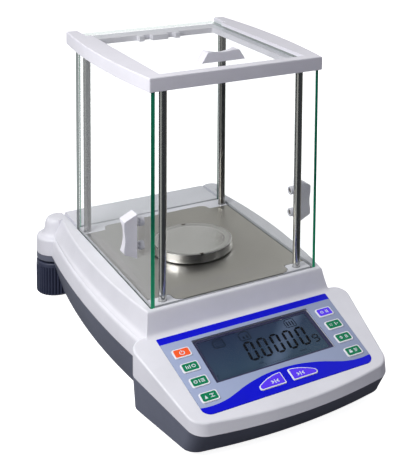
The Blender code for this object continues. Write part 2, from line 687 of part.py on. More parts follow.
# Bush in each peg hole: radius, distance out from the door's mid-plane
BUSH = [(1.9, 4.7), (2.9, 4.7), (2.9, -1.8), (4.1, -1.8), (4.1, -6.4), (1.9, -6.4)]
# Finger scoop of the handles: radius, depth at mid width and lean, deeper to the rear
SCOOP_R, SCOOP_DEPTH, SCOOP_LEAN = 38.0, 1.5, math.radians(10.5)
SCOOP_Z = 133.0
SCOOP_HALF, SCOOP_SEGMENTS = 12, 96
TOP_HANDLE_X, TOP_HANDLE_Y = 3.0, -55.3
TOP_BAR_TOP = 13.3
# Top handle: x, height above the ledge
TOP_BAR = [(-22.0, 3.6), (22.0, 3.6), (16.2, 12.6), (14.6, TOP_BAR_TOP),
           (-14.6, TOP_BAR_TOP), (-16.2, 12.6)]
TOP_GLASS_HALF, TOP_GLASS_Y0, TOP_GLASS_Y1 = 75.2, -94.2, 117.5


def make_fixed_panes():
    for name, half, y in (("front_glass", FRONT_GLASS_HALF, FRONT_GLASS_Y),
                          ("rear_glass", REAR_GLASS_HALF, REAR_GLASS_Y)):
        box(name, (-half, -GLASS / 2, GLASS_Z0), (half, GLASS / 2, GLASS_Z1), CLEAR, (0, y, 0))


def finger_scoop(name, loc, rot, slide):
    return cylinder(name, SCOOP_R, -SCOOP_HALF, SCOOP_HALF, parent=slide, segs=SCOOP_SEGMENTS,
                    loc=loc, rot=rot)


def make_side_handle(sign, side, slide):
    outline = [(sign * out, z) for out, z in SIDE_BAR]
    bar = prism(side + "_door_handle", outline if sign > 0 else list(reversed(outline)),
                -HANDLE_HALF, HANDLE_HALF, FRAME_PLASTIC, loc=(sign * GLASS / 2, HANDLE_Y, 0),
                parent=slide, rot=ALONG_Y)
    scoop_x = sign * (GLASS / 2 + BAR_TOP - SCOOP_DEPTH + SCOOP_R)
    cut(bar, finger_scoop("finger_scoop_" + side, (scoop_x, HANDLE_Y, SCOOP_Z),
                          (math.pi / 2, 0, sign * SCOOP_LEAN), slide))
    return bar


def make_side_door(sign, side):
    slide = empty(side + "_door_slide", (sign * DOOR_X, 0, 0), parent=ROOT)
    pane = box(side + "_door_glass", (-GLASS / 2, DOOR_Y0, GLASS_Z0),
               (GLASS / 2, DOOR_Y1, GLASS_Z1), CLEAR, parent=slide)
    bar = make_side_handle(sign, side, slide)
    for z, level in zip(PEG_Z, ("lower", "upper")):
        # the local z axis points outwards from the chamber
        spot = dict(loc=(0, HANDLE_Y, z), parent=slide, rot=(0, sign * math.pi / 2, 0))
        cut(pane, cylinder("peg_hole_%s_%s" % (side, level), PEG_HOLE_R, -8, 8, segs=16, **spot))
        cut(bar, cylinder("peg_socket_%s_%s" % (side, level), PEG_HOLE_R, 0, 5.0, segs=16, **spot))
        lathe("%s_handle_bush_%s" % (side, level), BUSH, FRAME_PLASTIC, segs=12, **spot)


def make_top_door():
    slide = empty("top_door_slide", (0, 0, LEDGE_Z), parent=ROOT)
    box("top_door_glass", (-TOP_GLASS_HALF, TOP_GLASS_Y0, GAP),
        (TOP_GLASS_HALF, TOP_GLASS_Y1, GAP + GLASS), CLEAR, parent=slide)
    bar = prism("top_door_handle", TOP_BAR, -HANDLE_HALF, HANDLE_HALF, FRAME_PLASTIC,
                loc=(TOP_HANDLE_X, TOP_HANDLE_Y, 0), parent=slide, rot=ALONG_Y)
    scoop_z = TOP_BAR_TOP - SCOOP_DEPTH + SCOOP_R
    cut(bar, finger_scoop("finger_scoop_top", (TOP_HANDLE_X, TOP_HANDLE_Y, scoop_z),
                          (math.pi / 2 - SCOOP_LEAN, 0, 0), slide))


# ------------------------------------------------- pan and its support
# Radius, height
PAN = [(0, 88.7), (33.5, 88.7), (37.6, 89.8), (38.8, 89.3), (39.9, 81.4), (39.1, 81.2),
       (37.8, 88.2), (33.8, 87.7), (8.0, 87.6), (8.0, 82.0), (4.8, 82.0), (3.3, 86.3), (0, 86.3)]
SUPPORT = [(0, 86.0), (3.0, 86.0), (4.3, 82.4), (4.3, 81.7), (8.5, 81.7), (8.5, 80.4),
           (5.0, 79.6), (5.0, 62.6), (0, 62.6)]


def make_pan():
    lathe("weighing_pan", PAN, STEEL, segs=40)
    lathe("pan_support", SUPPORT, CAST, segs=16)


# ------------------------------------------------------------- weighing cell
PIVOT_Y, PIVOT_Z, MAGNET_Y = 28.0, 54.5, 84.0
FULCRUM_HALF = 8               # half depth of the fulcrum post
BEAM_Z0, BEAM_Z1 = 0.6, 7.6    # above the pivot
# Radius, height above the pivot
COIL = [(0, 0.3), (16.2, 0.3), (16.2, -2.0), (15.8, -2.0), (15.8, -18.0), (13.4, -18.0),
        (13.4, -2.2), (0, -2.2)]
# Radius, height
MAGNET = [(0, 49.6), (11.8, 49.6), (11.8, 31.0), (17.6, 31.0), (17.6, 49.6), (25.0, 49.6),
          (26.0, 48.6), (26.0, 17.6), (0, 17.6)]


def make_cell_base():
    base = box("cell_base", (-40, -20, 9.3), (40, 122, 17.3), CAST)
    bevel(base, width=1.5, segments=1)
    join(base,
         box("fulcrum_post", (-12, PIVOT_Y - FULCRUM_HALF, 16), (12, PIVOT_Y + FULCRUM_HALF, 53.4)),
         box("front_post", (-30, -18, 16), (30, -10, 46)))


def make_beam():
    pivot = empty("beam_pivot", (0, PIVOT_Y, PIVOT_Z), parent=ROOT)
    coil_centre = (0, MAGNET_Y - PIVOT_Y, 0)
    beam = box("force_beam", (-8, -34, BEAM_Z0), (8, 70, BEAM_Z1), CAST, parent=pivot)
    cut(beam, box("beam_lightening", (-3, -14, -2), (3, 40, 12), parent=pivot))
    join(beam, cylinder("beam_nose", 11.0, BEAM_Z0, BEAM_Z1, loc=coil_centre, parent=pivot))
    lathe("coil_former", COIL, COPPER, loc=coil_centre, parent=pivot, segs=24)


# --------------------------------------------------------------- electronics
CONNECTOR_END_Y, FLANGE_Y = 158.2, 158.1
BOARD_TOP = 13.6
# Blocks on the main board: middle x, middle y, width, depth, height
CHIPS = ((-50, -80, 18, 18, 3), (-15, -72, 24, 12, 4), (25, -80, 16, 16, 3),
         (55, -60, 14, 20, 12), (-55, -52, 12, 12, 10), (0, -50, 40, 6, 8))


def make_transformer():
    core = box("transformer", (-82, 52, 9.3), (-50, 92, 45), LAMINATE)
    bevel(core, width=0.8, segments=1)
    join(core, box("winding", (-86, 60, 15), (-46, 84, 40)))


def make_main_board():
    board = box("main_board", (-78, -100, 12), (78, -38, BOARD_TOP), PCB)
    for i, (x, y, width, depth, height) in enumerate(CHIPS):
        join(board, box("chip_%d" % i, (x - width / 2, y - depth / 2, 13),
                        (x + width / 2, y + depth / 2, BOARD_TOP + height)))


def make_power_inlet():
    x0, x1, z0, z1 = INLET
    inlet = box("power_inlet", (x0, 138, z0), (x1, CONNECTOR_END_Y, z1), BLACK)
    join(inlet, box("inlet_flange", (x0 - 4, FLANGE_Y, z0 - 2), (x1 + 4, 160.6, z1 + 2)))
    cut(inlet, box("inlet_socket", (x0 + 2, 143, z0 + 2), (x1 - 2, 165, z1 - 2)))
    join(inlet, box("inlet_pins", (-36, 142, 22), (-28, 155, 26)))


def make_serial_port():
    x0, x1, z0, z1 = PORT
    port = box("serial_port", (x0, 146, z0), (x1, CONNECTOR_END_Y, z1), ZINC)
    join(port,
         box("port_flange", (x0 - 5, FLANGE_Y, z0 - 1.5), (x1 + 5, 159.2, z1 + 1.5)),
         box("port_shell", (18.5, 158, 18), (39.5, 164.5, 26)))
    cut(port, box("port_mouth", (19.3, 152, 18.8), (38.7, 170, 25.2)))


# -------------------------------------------------------------- keypad stack
DISPLAY_INSET = 0.1            # bezel and display module inside the window's outline
SWITCH_HALF = 3
SWITCHES = KEYS + [("tare_l", -13.0, -35.0), ("tare_r", 13.0, -35.0)]
KEY_COLOURS = {"key_left_1": ORANGE, "key_right_1": VIOLET}    # the others are green


def make_overlay(key_holes, panel):
    overlay = prism("panel_overlay", overlay_outline(), -0.8, 0.25, FILM, parent=panel)
    cut(overlay, prism("overlay_window", window_outline(GAP), -5, 5, parent=panel), *key_holes)


def make_display(panel):
    prism("display_window", window_outline(), -1.4, 0.1, WINDOW, parent=panel)
    inner = window_outline(-DISPLAY_INSET)
    bezel = prism("display_bezel", inner, -4.4, -1.7, BEZEL, parent=panel)
    cut(bezel, prism("bezel_window", rectangle(-54.0, -15.8, 54.0, 31.7), -9, 5, parent=panel))
    prism("lcd_module", inner, -9.2, -4.7, LCD, parent=panel)


def make_keypad_board(panel):
    board = prism("keypad_board", rectangle(-80.0, -43.0, 80.0, 36.0), -8.0, -6.4, PCB,
                  parent=panel)
    cut(board, prism("keypad_board_window", rectangle(-58.6, -19.2, 58.6, 50.0), -12, 3,
                     parent=panel))
    for name, x, y in SWITCHES:
        join(board, box("switch_" + name, (x - SWITCH_HALF, y - SWITCH_HALF, -7),
                        (x + SWITCH_HALF, y + SWITCH_HALF, -5.1), parent=panel))


def make_keys(panel):
    for name, x, y in KEYS:
        prism(name, key_outline(KEY_R), KEY_BOTTOM, KEY_TOP, KEY_COLOURS.get(name, GREEN),
              loc=(x, y, 0), parent=panel)
    for sign, side in SIDES:
        prism("tare_key_" + side, wing_outline(sign), KEY_BOTTOM, KEY_TOP, VIOLET, parent=panel)


# ------------------------------------------------------------ feet and screws
KNOB_Z0, KNOB_Z1, FLUTES = 0.6, 35.3, 30
# Knob stations: height, inset from KNOB_R, flute depth
KNOB = ((KNOB_Z0, 0.6, 0.8), (KNOB_Z0 + 1, 0.0, 0.9), (30.2, 0.1, 0.9), (31.4, 0.4, 0.0),
        (KNOB_Z1 - 1.0, 0.5, 0.0), (KNOB_Z1, 1.4, 0.0))
# Radius, height
STUD = [(0, 56.0), (3.8, 56.0), (STUD_R, 55.0), (STUD_R, 8.5), (0, 8.5)]
PAD = [(0, 6.8), (3.0, 6.8), (3.0, 2.7), (14.0, 2.7), (15.0, 1.8), (15.0, 0.0), (0, 0.0)]
FRONT_PAD = [(0, 9.4), (2.7, 9.4), (2.7, 5.7), (8.0, 5.7), (8.0, 1.2), (7.2, 0.0), (0, 0.0)]


def knob_ring(z, radius, depth):
    """Ring whose every other point lies depth further in."""
    count = 2 * FLUTES
    ring = []
    for i in range(count):
        reach, angle = radius - depth * (i % 2), math.tau * i / count
        ring.append((reach * math.cos(angle), reach * math.sin(angle), z))
    return ring


def make_levelling_foot(sign, side):
    axis = empty("foot_axis_" + side, (sign * FOOT_X, FOOT_Y, 0), parent=ROOT)
    knob = loft("levelling_knob_" + side,
                [knob_ring(z, KNOB_R - inset, depth) for z, inset, depth in KNOB],
                NAVY, parent=axis)
    cut(knob,
        cylinder("knob_bore_" + side, STUD_R + GAP, 8.2, 60, parent=axis, segs=20),
        cylinder("knob_seat_" + side, 3.4, -2, 7.2, parent=axis, segs=16),
        cylinder("pad_recess_" + side, 15.6, -2, 3.1, parent=axis, segs=24))
    lathe("levelling_stud_" + side, STUD, ZINC, parent=axis, segs=16)
    lathe("foot_pad_" + side, PAD, RUBBER, parent=axis, segs=24)


def make_screws():
    for name, (x, y) in SCREWS.items():
        tip = joint_at_screw(y) + 11.5
        lathe(name, [(0, tip), (1.4, tip - 1.0), (1.4, 15.7), (3.4, 15.7), (3.4, 13.6),
                     (2.6, 12.8), (0, 12.8)], ZINC, loc=(x, y, 0), segs=10)


# ------------------------------------------------------------------ assembly
def build():
    panel = empty("keypad_plane", (0, PANEL_Y, PANEL_Z), (PANEL_TILT, 0, 0), ROOT)
    block = make_block_volume()
    cavity_block = make_block_cavity()
    towers = make_towers()
    key_holes = make_key_holes(panel)
    make_upper_housing(block, towers, cavity_block, key_holes, panel)
    make_lower_housing(block, towers, cavity_block)
    make_floor_plate()
    make_columns()
    make_top_frame()
    make_fixed_panes()
    make_top_door()
    make_pan()
    make_cell_base()
    make_beam()
    lathe("magnet_pot", MAGNET, IRON, loc=(0, MAGNET_Y, 0), segs=24)
    make_transformer()
    make_main_board()
    make_power_inlet()
    make_serial_port()
    make_overlay(key_holes, panel)
    make_display(panel)
    make_keypad_board(panel)
    make_keys(panel)
    for sign, side in SIDES:
        make_side_door(sign, side)
        make_levelling_foot(sign, side)
        lathe("front_foot_" + side, FRONT_PAD, RUBBER,
              loc=(sign * FRONT_FOOT_X, FRONT_FOOT_Y, 0), segs=16)
    make_screws()


build()
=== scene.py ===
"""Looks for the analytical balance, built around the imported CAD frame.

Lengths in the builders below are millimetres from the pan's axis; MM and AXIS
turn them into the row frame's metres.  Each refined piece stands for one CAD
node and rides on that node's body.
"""
import json
import math

import bmesh
import bpy
from mathutils import Matrix, Vector


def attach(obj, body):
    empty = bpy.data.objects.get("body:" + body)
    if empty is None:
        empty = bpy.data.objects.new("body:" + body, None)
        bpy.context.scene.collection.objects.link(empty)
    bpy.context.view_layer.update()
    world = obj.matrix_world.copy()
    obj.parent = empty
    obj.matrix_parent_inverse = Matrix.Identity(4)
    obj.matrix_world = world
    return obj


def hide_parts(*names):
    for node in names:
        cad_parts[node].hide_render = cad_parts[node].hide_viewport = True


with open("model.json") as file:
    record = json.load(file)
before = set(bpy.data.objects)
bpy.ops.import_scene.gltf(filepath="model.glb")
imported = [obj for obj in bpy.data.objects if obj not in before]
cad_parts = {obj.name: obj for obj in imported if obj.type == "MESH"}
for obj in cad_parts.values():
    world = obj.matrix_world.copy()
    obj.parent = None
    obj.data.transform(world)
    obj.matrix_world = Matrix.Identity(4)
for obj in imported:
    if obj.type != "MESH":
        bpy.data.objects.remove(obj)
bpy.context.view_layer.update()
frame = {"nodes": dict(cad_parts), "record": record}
NODES = frame["nodes"]
BODY_OF = {n: b for b, ns in frame["record"]["behaviour"]["bodies"].items() for n in ns}

MM = 0.001
PAN_AXIS_Y = 26.4
AXIS = Matrix.Translation((0.0, PAN_AXIS_Y * MM, 0.0))
PANEL_Y, PANEL_Z, PANEL_TILT = -159.6, 48.25, math.radians(14.0)
PANEL = AXIS @ Matrix.Translation((0, PANEL_Y * MM, PANEL_Z * MM)) @ Matrix.Rotation(PANEL_TILT, 4, 'X')
DECK_Z, DECK_FRONT_Y, DECK_THICK, WALL = 80.0, -102.7, 6.5, 3.0
PARTING_Z, LINE_RISE = 40.0, 0.0172
BODY = ((6.0, 97.0, 5.5e-4, 20.0, -118.0, 157.4, 15.0), (40.0, 106.2, 4.3e-4, 34.0, -118.0, 158.0, 16.0),
        (57.0, 105.2, 4.9e-4, 24.0, -118.0, 158.0, 16.0), (61.0, 100.2, 4.0e-4, 38.0, -109.5, 155.5, 14.0),
        (80.0, 97.6, 6.4e-4, 20.0, DECK_FRONT_Y, 154.0, 7.0))
CLIMB = ((6.0, 0.0), (7.5, 0.0), (40.0, 1.0), (62.0, 1.0), (73.5, 0.0), (90.0, 0.0))
BLOCK_REAR_Y, BLOCK_FRONT_Y, BLOCK_NOSE_R = -107.5, -222.0, 406.0
BLOCK_HALF, BLOCK_TAPER, BLOCK_PART_Z, BLOCK_PART_SLOPE = 107.5, 0.1706, 37.0, 0.105
COL_R = 3.6
COLS = {"column_front_left": (-68.3, -88.3), "column_front_right": (68.3, -88.3),
        "column_rear_left": (-76.0, 90.8), "column_rear_right": (76.0, 90.8)}
DOOR_X, GLASS, GROOVE = 81.8, 3.0, 3.3
FRAME_Z0, FRAME_Z1, LEDGE_Z, LIP_Z = 272.6, 285.3, 278.2, 281.9
FOOT_X, FOOT_Y, COLLAR_R, COLLAR_Z0 = 90.3, 147.2, 21.5, 38.0
FRONT_FOOT = (78.0, -182.0)
SCREWS = {"housing_screw_front_left": (-93.0, -126.0), "housing_screw_front_right": (93.0, -126.0),
          "housing_screw_rear_left": (-58.0, 140.0), "housing_screw_rear_right": (58.0, 140.0)}
KEY_W, KEY_H, KEY_TOP, KEY_BOTTOM = 16.0, 11.0, 0.95, -4.2
KEY_ROWS, KEY_U = (23.8, 6.3, -11.2, -29.1), (70.8, 70.5, 70.1, 69.3)
GAP = 0.3


# ============================================================ node helpers
def tree(name):
    m = bpy.data.materials.new(name)
    m.use_nodes = True
    t = m.node_tree
    return m, t, t.nodes["Principled BSDF"]


def put(t, kind, **props):
    n = t.nodes.new(kind)
    for k, v in props.items():
        setattr(n, k, v)
    return n


def feed(t, node, socket, value):
    s = node.inputs[socket]
    if hasattr(value, "is_output"):
        t.links.new(value, s)
    else:
        s.default_value = value


def coords(t, kind="Object", scale=(1, 1, 1), rot=(0, 0, 0)):
    c = put(t, "ShaderNodeTexCoord")
    m = put(t, "ShaderNodeMapping")
    feed(t, m, "Vector", c.outputs[kind])
    m.inputs["Scale"].default_value = scale
    m.inputs["Rotation"].default_value = rot
    return m.outputs["Vector"]


def noise(t, vec, scale, detail=3.0, rough=0.5):
    n = put(t, "ShaderNodeTexNoise")
    feed(t, n, "Vector", vec)
    n.inputs["Scale"].default_value = scale
    n.inputs["Detail"].default_value = detail
    n.inputs["Roughness"].default_value = rough
    return n.outputs["Fac"]


def ramp(t, fac, stops, interp='LINEAR'):
    r = put(t, "ShaderNodeValToRGB")
    r.color_ramp.interpolation = interp
    e = r.color_ramp.elements
    while len(e) < len(stops):
        e.new(0.5)
    for el, (p, c) in zip(e, stops):
        el.position = p
        el.color = c if len(c) == 4 else (*c, 1.0)
    feed(t, r, "Fac", fac)
    return r.outputs["Color"]


def span(t, fac, lo, hi, a=0.0, b=1.0):
    n = put(t, "ShaderNodeMapRange")
    feed(t, n, "Value", fac)
    for k, v in zip(("From Min", "From Max", "To Min", "To Max"), (a, b, lo, hi)):
        n.inputs[k].default_value = v
    return n.outputs["Result"]


def math_node(t, op, a, b=None, c=None):
    n = put(t, "ShaderNodeMath", operation=op)
    for i, v in enumerate((a, b, c)):
        if v is not None:
            feed(t, n, i, v)
    return n.outputs[0]


def mix_color(t, fac, a, b):
    n = put(t, "ShaderNodeMix", data_type='RGBA')
    feed(t, n, 0, fac)
    feed(t, n, 6, a if hasattr(a, "is_output") else (*a, 1.0))
    feed(t, n, 7, b if hasattr(b, "is_output") else (*b, 1.0))
    return n.outputs[2]


def add_bump(t, bsdf, height, strength, distance, normal=None):
    b = put(t, "ShaderNodeBump")
    b.inputs["Strength"].default_value = strength
    b.inputs["Distance"].default_value = distance
    feed(t, b, "Height", height)
    if normal is not None:
        feed(t, b, "Normal", normal)
    t.links.new(b.outputs["Normal"], bsdf.inputs["Normal"])
    return b.outputs["Normal"]


def srgb(r, g, b):
    """8-bit screen colour to linear."""
    return tuple(((c / 255 + 0.055) / 1.055) ** 2.4 if c > 10 else c / 255 / 12.92 for c in (r, g, b))


def shade(rgb, k):
    return tuple(min(1.0, c * k) for c in rgb)


def plastic(name, rgb, rough=0.42, grain=0.16, grain_scale=2600.0, mottle=0.035, spec=0.5):
    """Moulded plastic: fine spark-eroded grain, faint mottling and uneven gloss."""
    m, t, b = tree(name)
    v = coords(t)
    cloud = noise(t, v, 26.0, 4.0, 0.6)
    feed(t, b, "Base Color", ramp(t, cloud, [(0.3, shade(rgb, 1 - mottle)), (0.7, shade(rgb, 1 + mottle))]))
    feed(t, b, "Roughness", span(t, noise(t, v, 180.0, 5.0, 0.6), rough - 0.06, rough + 0.07))
    fine = noise(t, v, grain_scale, 2.0, 0.5)
    wave = noise(t, v, 55.0, 2.0, 0.5)
    h = math_node(t, 'MULTIPLY_ADD', wave, 0.35, fine)
    add_bump(t, b, h, grain, 0.00006)
    b.inputs["Specular IOR Level"].default_value = spec
    return m


def brushed(name, rgb, rough=0.3, stretch=(1400, 22, 60), bump=0.12, dark=0.12, aniso=0.4):
    """Sheet steel brushed along one direction."""
    m, t, b = tree(name)
    b.inputs["Metallic"].default_value = 1.0
    lines = noise(t, coords(t, scale=stretch), 1.0, 6.0, 0.65)
    cloud = noise(t, coords(t), 18.0, 3.0, 0.6)
    tone = math_node(t, 'MULTIPLY_ADD', lines, 0.6, math_node(t, 'MULTIPLY', cloud, 0.4))
    feed(t, b, "Base Color", ramp(t, tone, [(0.28, shade(rgb, 1 - dark)), (0.72, shade(rgb, 1 + dark * 0.6))]))
    feed(t, b, "Roughness", span(t, lines, rough - 0.05, rough + 0.12))
    b.inputs["Anisotropic"].default_value = aniso
    add_bump(t, b, lines, bump, 0.00004)
    return m


def turned(name, rgb, rough=0.25, rings=900.0, dark=0.15, bump=0.02, rim=None):
    """Steel polished on a lathe: fine circles about the object's own Z axis."""
    m, t, b = tree(name)
    b.inputs["Metallic"].default_value = 1.0
    c = put(t, "ShaderNodeTexCoord")
    sep = put(t, "ShaderNodeSeparateXYZ")
    feed(t, sep, 0, c.outputs["Object"])
    r = math_node(t, 'SQRT', math_node(t, 'ADD', math_node(t, 'MULTIPLY', sep.outputs[0], sep.outputs[0]),
                                       math_node(t, 'MULTIPLY', sep.outputs[1], sep.outputs[1])))
    comb = put(t, "ShaderNodeCombineXYZ")
    feed(t, comb, 0, math_node(t, 'MULTIPLY', r, rings))
    feed(t, comb, 1, math_node(t, 'MULTIPLY', sep.outputs[2], rings * 0.6))
    circ = noise(t, comb.outputs[0], 1.0, 5.0, 0.7)
    cloud = noise(t, coords(t), 35.0, 4.0, 0.6)
    tone = math_node(t, 'MULTIPLY_ADD', circ, 0.55, math_node(t, 'MULTIPLY', cloud, 0.45))
    col = ramp(t, tone, [(0.3, shade(rgb, 1 - dark)), (0.7, shade(rgb, 1 + dark * 0.5))])
    if rim:                               # painted highlight and shade: tone rings along the radius follow the rim's rise, crest and roll-off
        zone = ramp(t, math_node(t, 'MULTIPLY', r, 20.0), [(q * 20.0, (k * 0.8, k * 0.8, k * 0.79)) for q, k in rim])
        both = put(t, "ShaderNodeVectorMath", operation='MULTIPLY')
        feed(t, both, 0, col)
        feed(t, both, 1, zone)
        bright = put(t, "ShaderNodeVectorMath", operation='SCALE')
        feed(t, bright, 0, both.outputs[0])
        bright.inputs["Scale"].default_value = 1.25
        col = bright.outputs[0]
    feed(t, b, "Base Color", col)
    feed(t, b, "Roughness", span(t, circ, rough - 0.04, rough + 0.06))
    b.inputs["Anisotropic"].default_value = 0.5
    add_bump(t, b, circ, bump, 0.00003)
    return m


def rod_steel(name, low, high, rough):
    """Drawn bright rod: mirror-like along its length, with painted reflection bands round it that also vary its
    roughness and bump faintly.
    """
    m, t, b = tree(name)
    b.inputs["Metallic"].default_value = 1.0
    c = put(t, "ShaderNodeTexCoord")
    sep = put(t, "ShaderNodeSeparateXYZ")
    feed(t, sep, 0, c.outputs["Object"])
    ang = math_node(t, 'ARCTAN2', sep.outputs[1], sep.outputs[0])
    comb = put(t, "ShaderNodeCombineXYZ")
    feed(t, comb, 0, math_node(t, 'MULTIPLY', math_node(t, 'COSINE', ang), 9.0))
    feed(t, comb, 1, math_node(t, 'MULTIPLY', math_node(t, 'SINE', ang), 9.0))
    feed(t, comb, 2, math_node(t, 'MULTIPLY', sep.outputs[2], 3.0))
    streak = noise(t, comb.outputs[0], 1.6, 4.0, 0.6)
    # painted reflection: light and dark bands round the rod, set by angle
    feed(t, b, "Base Color", ramp(t, streak, [(0.3, low), (0.7, high)]))
    feed(t, b, "Roughness", span(t, streak, rough, rough + 0.06))
    add_bump(t, b, streak, 0.002, 0.00002)
    return m


def skirt_steel(name):
    """Spun rim of the pan: satin steel whose colour carries painted reflections, light and dark bands round its
    circumference.
    """
    m, t, b = tree(name)
    b.inputs["Metallic"].default_value = 1.0
    c = put(t, "ShaderNodeTexCoord")
    sep = put(t, "ShaderNodeSeparateXYZ")
    feed(t, sep, 0, c.outputs["Object"])
    ang = math_node(t, 'ARCTAN2', sep.outputs[1], sep.outputs[0])
    turn = span(t, ang, 0.0, 1.0, -math.pi, math.pi)
    # painted reflections: light and dark tones by angle stand in for highlights mirrored in the skirt
    reflection_tones = [(0.0, 0.46), (0.055, 0.5), (0.085, 0.88), (0.128, 0.82), (0.150, 0.42), (0.212, 0.36), (0.236, 0.78),
             (0.284, 0.7), (0.312, 0.42), (0.43, 0.38), (0.5, 0.72), (0.62, 0.45), (0.75, 0.75), (0.88, 0.45), (1.0, 0.46)]
    feed(t, b, "Base Color", ramp(t, turn, [(q, (k, k, k * 1.02)) for q, k in reflection_tones]))
    band = noise(t, coords(t, scale=(1, 1, 60)), 60.0, 3.0, 0.55)
    feed(t, b, "Roughness", span(t, band, 0.2, 0.28))
    return m


def clear_sheet(name, tint, gloss=0.03, reflect=0.5, haze=0.004, smear=0.012, haze_rgb=(0.8, 0.9, 0.9), streaks=0.0):
    """Glass or acrylic face: tinted see-through, a mirror share that grows at a slant, and faint wiping marks."""
    m, t, b = tree(name)
    t.nodes.remove(b)
    out = t.nodes["Material Output"]
    clear = put(t, "ShaderNodeBsdfTransparent")
    clear.inputs[0].default_value = (*tint, 1.0)
    gl = put(t, "ShaderNodeBsdfGlossy")
    smudge = noise(t, coords(t, scale=(1, 1, 0.35)), 40.0, 6.0, 0.7)
    feed(t, gl, "Roughness", span(t, smudge, gloss, gloss + 0.06, 0.35, 0.8))
    lw = put(t, "ShaderNodeLayerWeight")
    lw.inputs["Blend"].default_value = 0.5
    mirror = math_node(t, 'MULTIPLY_ADD', math_node(t, 'POWER', lw.outputs["Facing"], 5.0), 0.96, 0.04)
    film = put(t, "ShaderNodeBsdfDiffuse")
    film.inputs[0].default_value = (*haze_rgb, 1.0)
    dull = span(t, smudge, haze, haze + smear, 0.4, 0.8)
    if streaks:
        band = noise(t, coords(t, scale=(1, 0.16, 1), rot=(0, 0, math.radians(-24))), 52.0, 2.0, 0.4)
        dull = math_node(t, 'ADD', dull, span(t, band, 0.0, streaks, 0.52, 0.78))
    base = put(t, "ShaderNodeMixShader")
    feed(t, base, 0, dull)
    t.links.new(clear.outputs[0], base.inputs[1])
    t.links.new(film.outputs[0], base.inputs[2])
    mix = put(t, "ShaderNodeMixShader")
    feed(t, mix, 0, math_node(t, 'MULTIPLY', mirror, reflect))
    t.links.new(base.outputs[0], mix.inputs[1])
    t.links.new(gl.outputs[0], mix.inputs[2])
    t.links.new(mix.outputs[0], out.inputs["Surface"])
    return m


def glass_edge(name, through_rgb, inner_shade_rgb, share):
    """Cut edge of float glass: deep green with ground sparkle, hardly seen through the sheet's own face."""
    m, t, b = tree(name)
    v = coords(t)
    sep = put(t, "ShaderNodeSeparateXYZ")
    feed(t, sep, 0, v)
    up = span(t, sep.outputs[2], 0.0, 1.0, 0.075, 0.28)
    speck = noise(t, coords(t, scale=(900, 900, 260)), 1.0, 3.0, 0.7)
    k = math_node(t, 'ADD', up, math_node(t, 'MULTIPLY_ADD', speck, 0.42, -0.2))
    col = ramp(t, k, [(0.05, srgb(40, 172, 122)), (0.34, srgb(24, 146, 104)), (0.42, srgb(14, 116, 86)),
                      (0.62, srgb(12, 122, 90)), (0.95, srgb(20, 138, 100))])
    feed(t, b, "Base Color", col)
    feed(t, b, "Roughness", span(t, speck, 0.15, 0.4))
    b.inputs["Specular IOR Level"].default_value = 0.25
    add_bump(t, b, speck, 0.25, 0.0001)
    # an edge met from inside the sheet is drawn as a thin line of painted shade, its darkness set per pane
    through = put(t, "ShaderNodeBsdfTransparent")
    through.inputs[0].default_value = (*through_rgb, 1.0)
    pale = put(t, "ShaderNodeBsdfDiffuse")
    pale.inputs[0].default_value = (*inner_shade_rgb, 1.0)
    inner = put(t, "ShaderNodeMixShader")
    inner.inputs[0].default_value = share
    t.links.new(through.outputs[0], inner.inputs[1])
    t.links.new(pale.outputs[0], inner.inputs[2])
    geo = put(t, "ShaderNodeNewGeometry")
    mix = put(t, "ShaderNodeMixShader")
    feed(t, mix, 0, geo.outputs["Backfacing"])
    t.links.new(b.outputs[0], mix.inputs[1])
    t.links.new(inner.outputs[0], mix.inputs[2])
    t.links.new(mix.outputs[0], t.nodes["Material Output"].inputs["Surface"])
    return m


def simple(name, rgb, rough=0.5, metal=0.0, grain=0.1, scale=900.0, mottle=0.06, spec=0.5):
    m, t, b = tree(name)
    v = coords(t)
    feed(t, b, "Base Color", ramp(t, noise(t, v, scale * 0.1, 4.0, 0.6),
                                  [(0.3, shade(rgb, 1 - mottle)), (0.7, shade(rgb, 1 + mottle))]))
    b.inputs["Metallic"].default_value = metal
    n = noise(t, v, scale, 3.0, 0.6)
    feed(t, b, "Roughness", span(t, n, max(0.03, rough - 0.08), rough + 0.08))
    add_bump(t, b, n, grain, 0.00005)
    b.inputs["Specular IOR Level"].default_value = spec
    return m


WHITE = plastic("white_housing_plastic", srgb(229, 229, 236), 0.42, 0.14, spec=0.4)
FRAME_W = plastic("frame_white_plastic", srgb(231, 230, 238), 0.38, 0.10, spec=0.4)
GREY = plastic("grey_housing_plastic", srgb(107, 111, 126), 0.5, 0.22, 2200.0, 0.05, spec=0.25)
NAVY = plastic("knob_plastic", srgb(55, 60, 82), 0.40, 0.2, 2400.0, 0.07, spec=0.4)
RUBBER = plastic("black_rubber", srgb(30, 30, 31), 0.75, 0.4, 1600.0, 0.1)
# painted shadow for the pan's rim notches
NICK_SHADOW = simple("nick_painted_shadow", (0.16, 0.14, 0.12), 0.5, 1.0, 0.1, 1500.0, 0.1)
PLATE = brushed("plate_steel", (0.455, 0.44, 0.415), 0.32, (26, 1500, 60), 0.012, 0.11, 0.3)
# rim list: painted highlight and shade rings across the pan's rim
PAN_TOP = turned("pan_steel", (0.655, 0.65, 0.65), 0.24, 1100.0, 0.07, 0.015,
                 rim=[(0.0, 1.0), (0.0318, 1.0), (0.0326, 1.22), (0.0336, 0.84), (0.0362, 0.82), (0.0374, 1.05), (0.0383, 0.5), (0.0392, 0.42)])
PAN_SKIRT = skirt_steel("pan_skirt_steel")
ROD = rod_steel("column_rod_steel", (0.50, 0.50, 0.49), (0.64, 0.635, 0.62), 0.08)
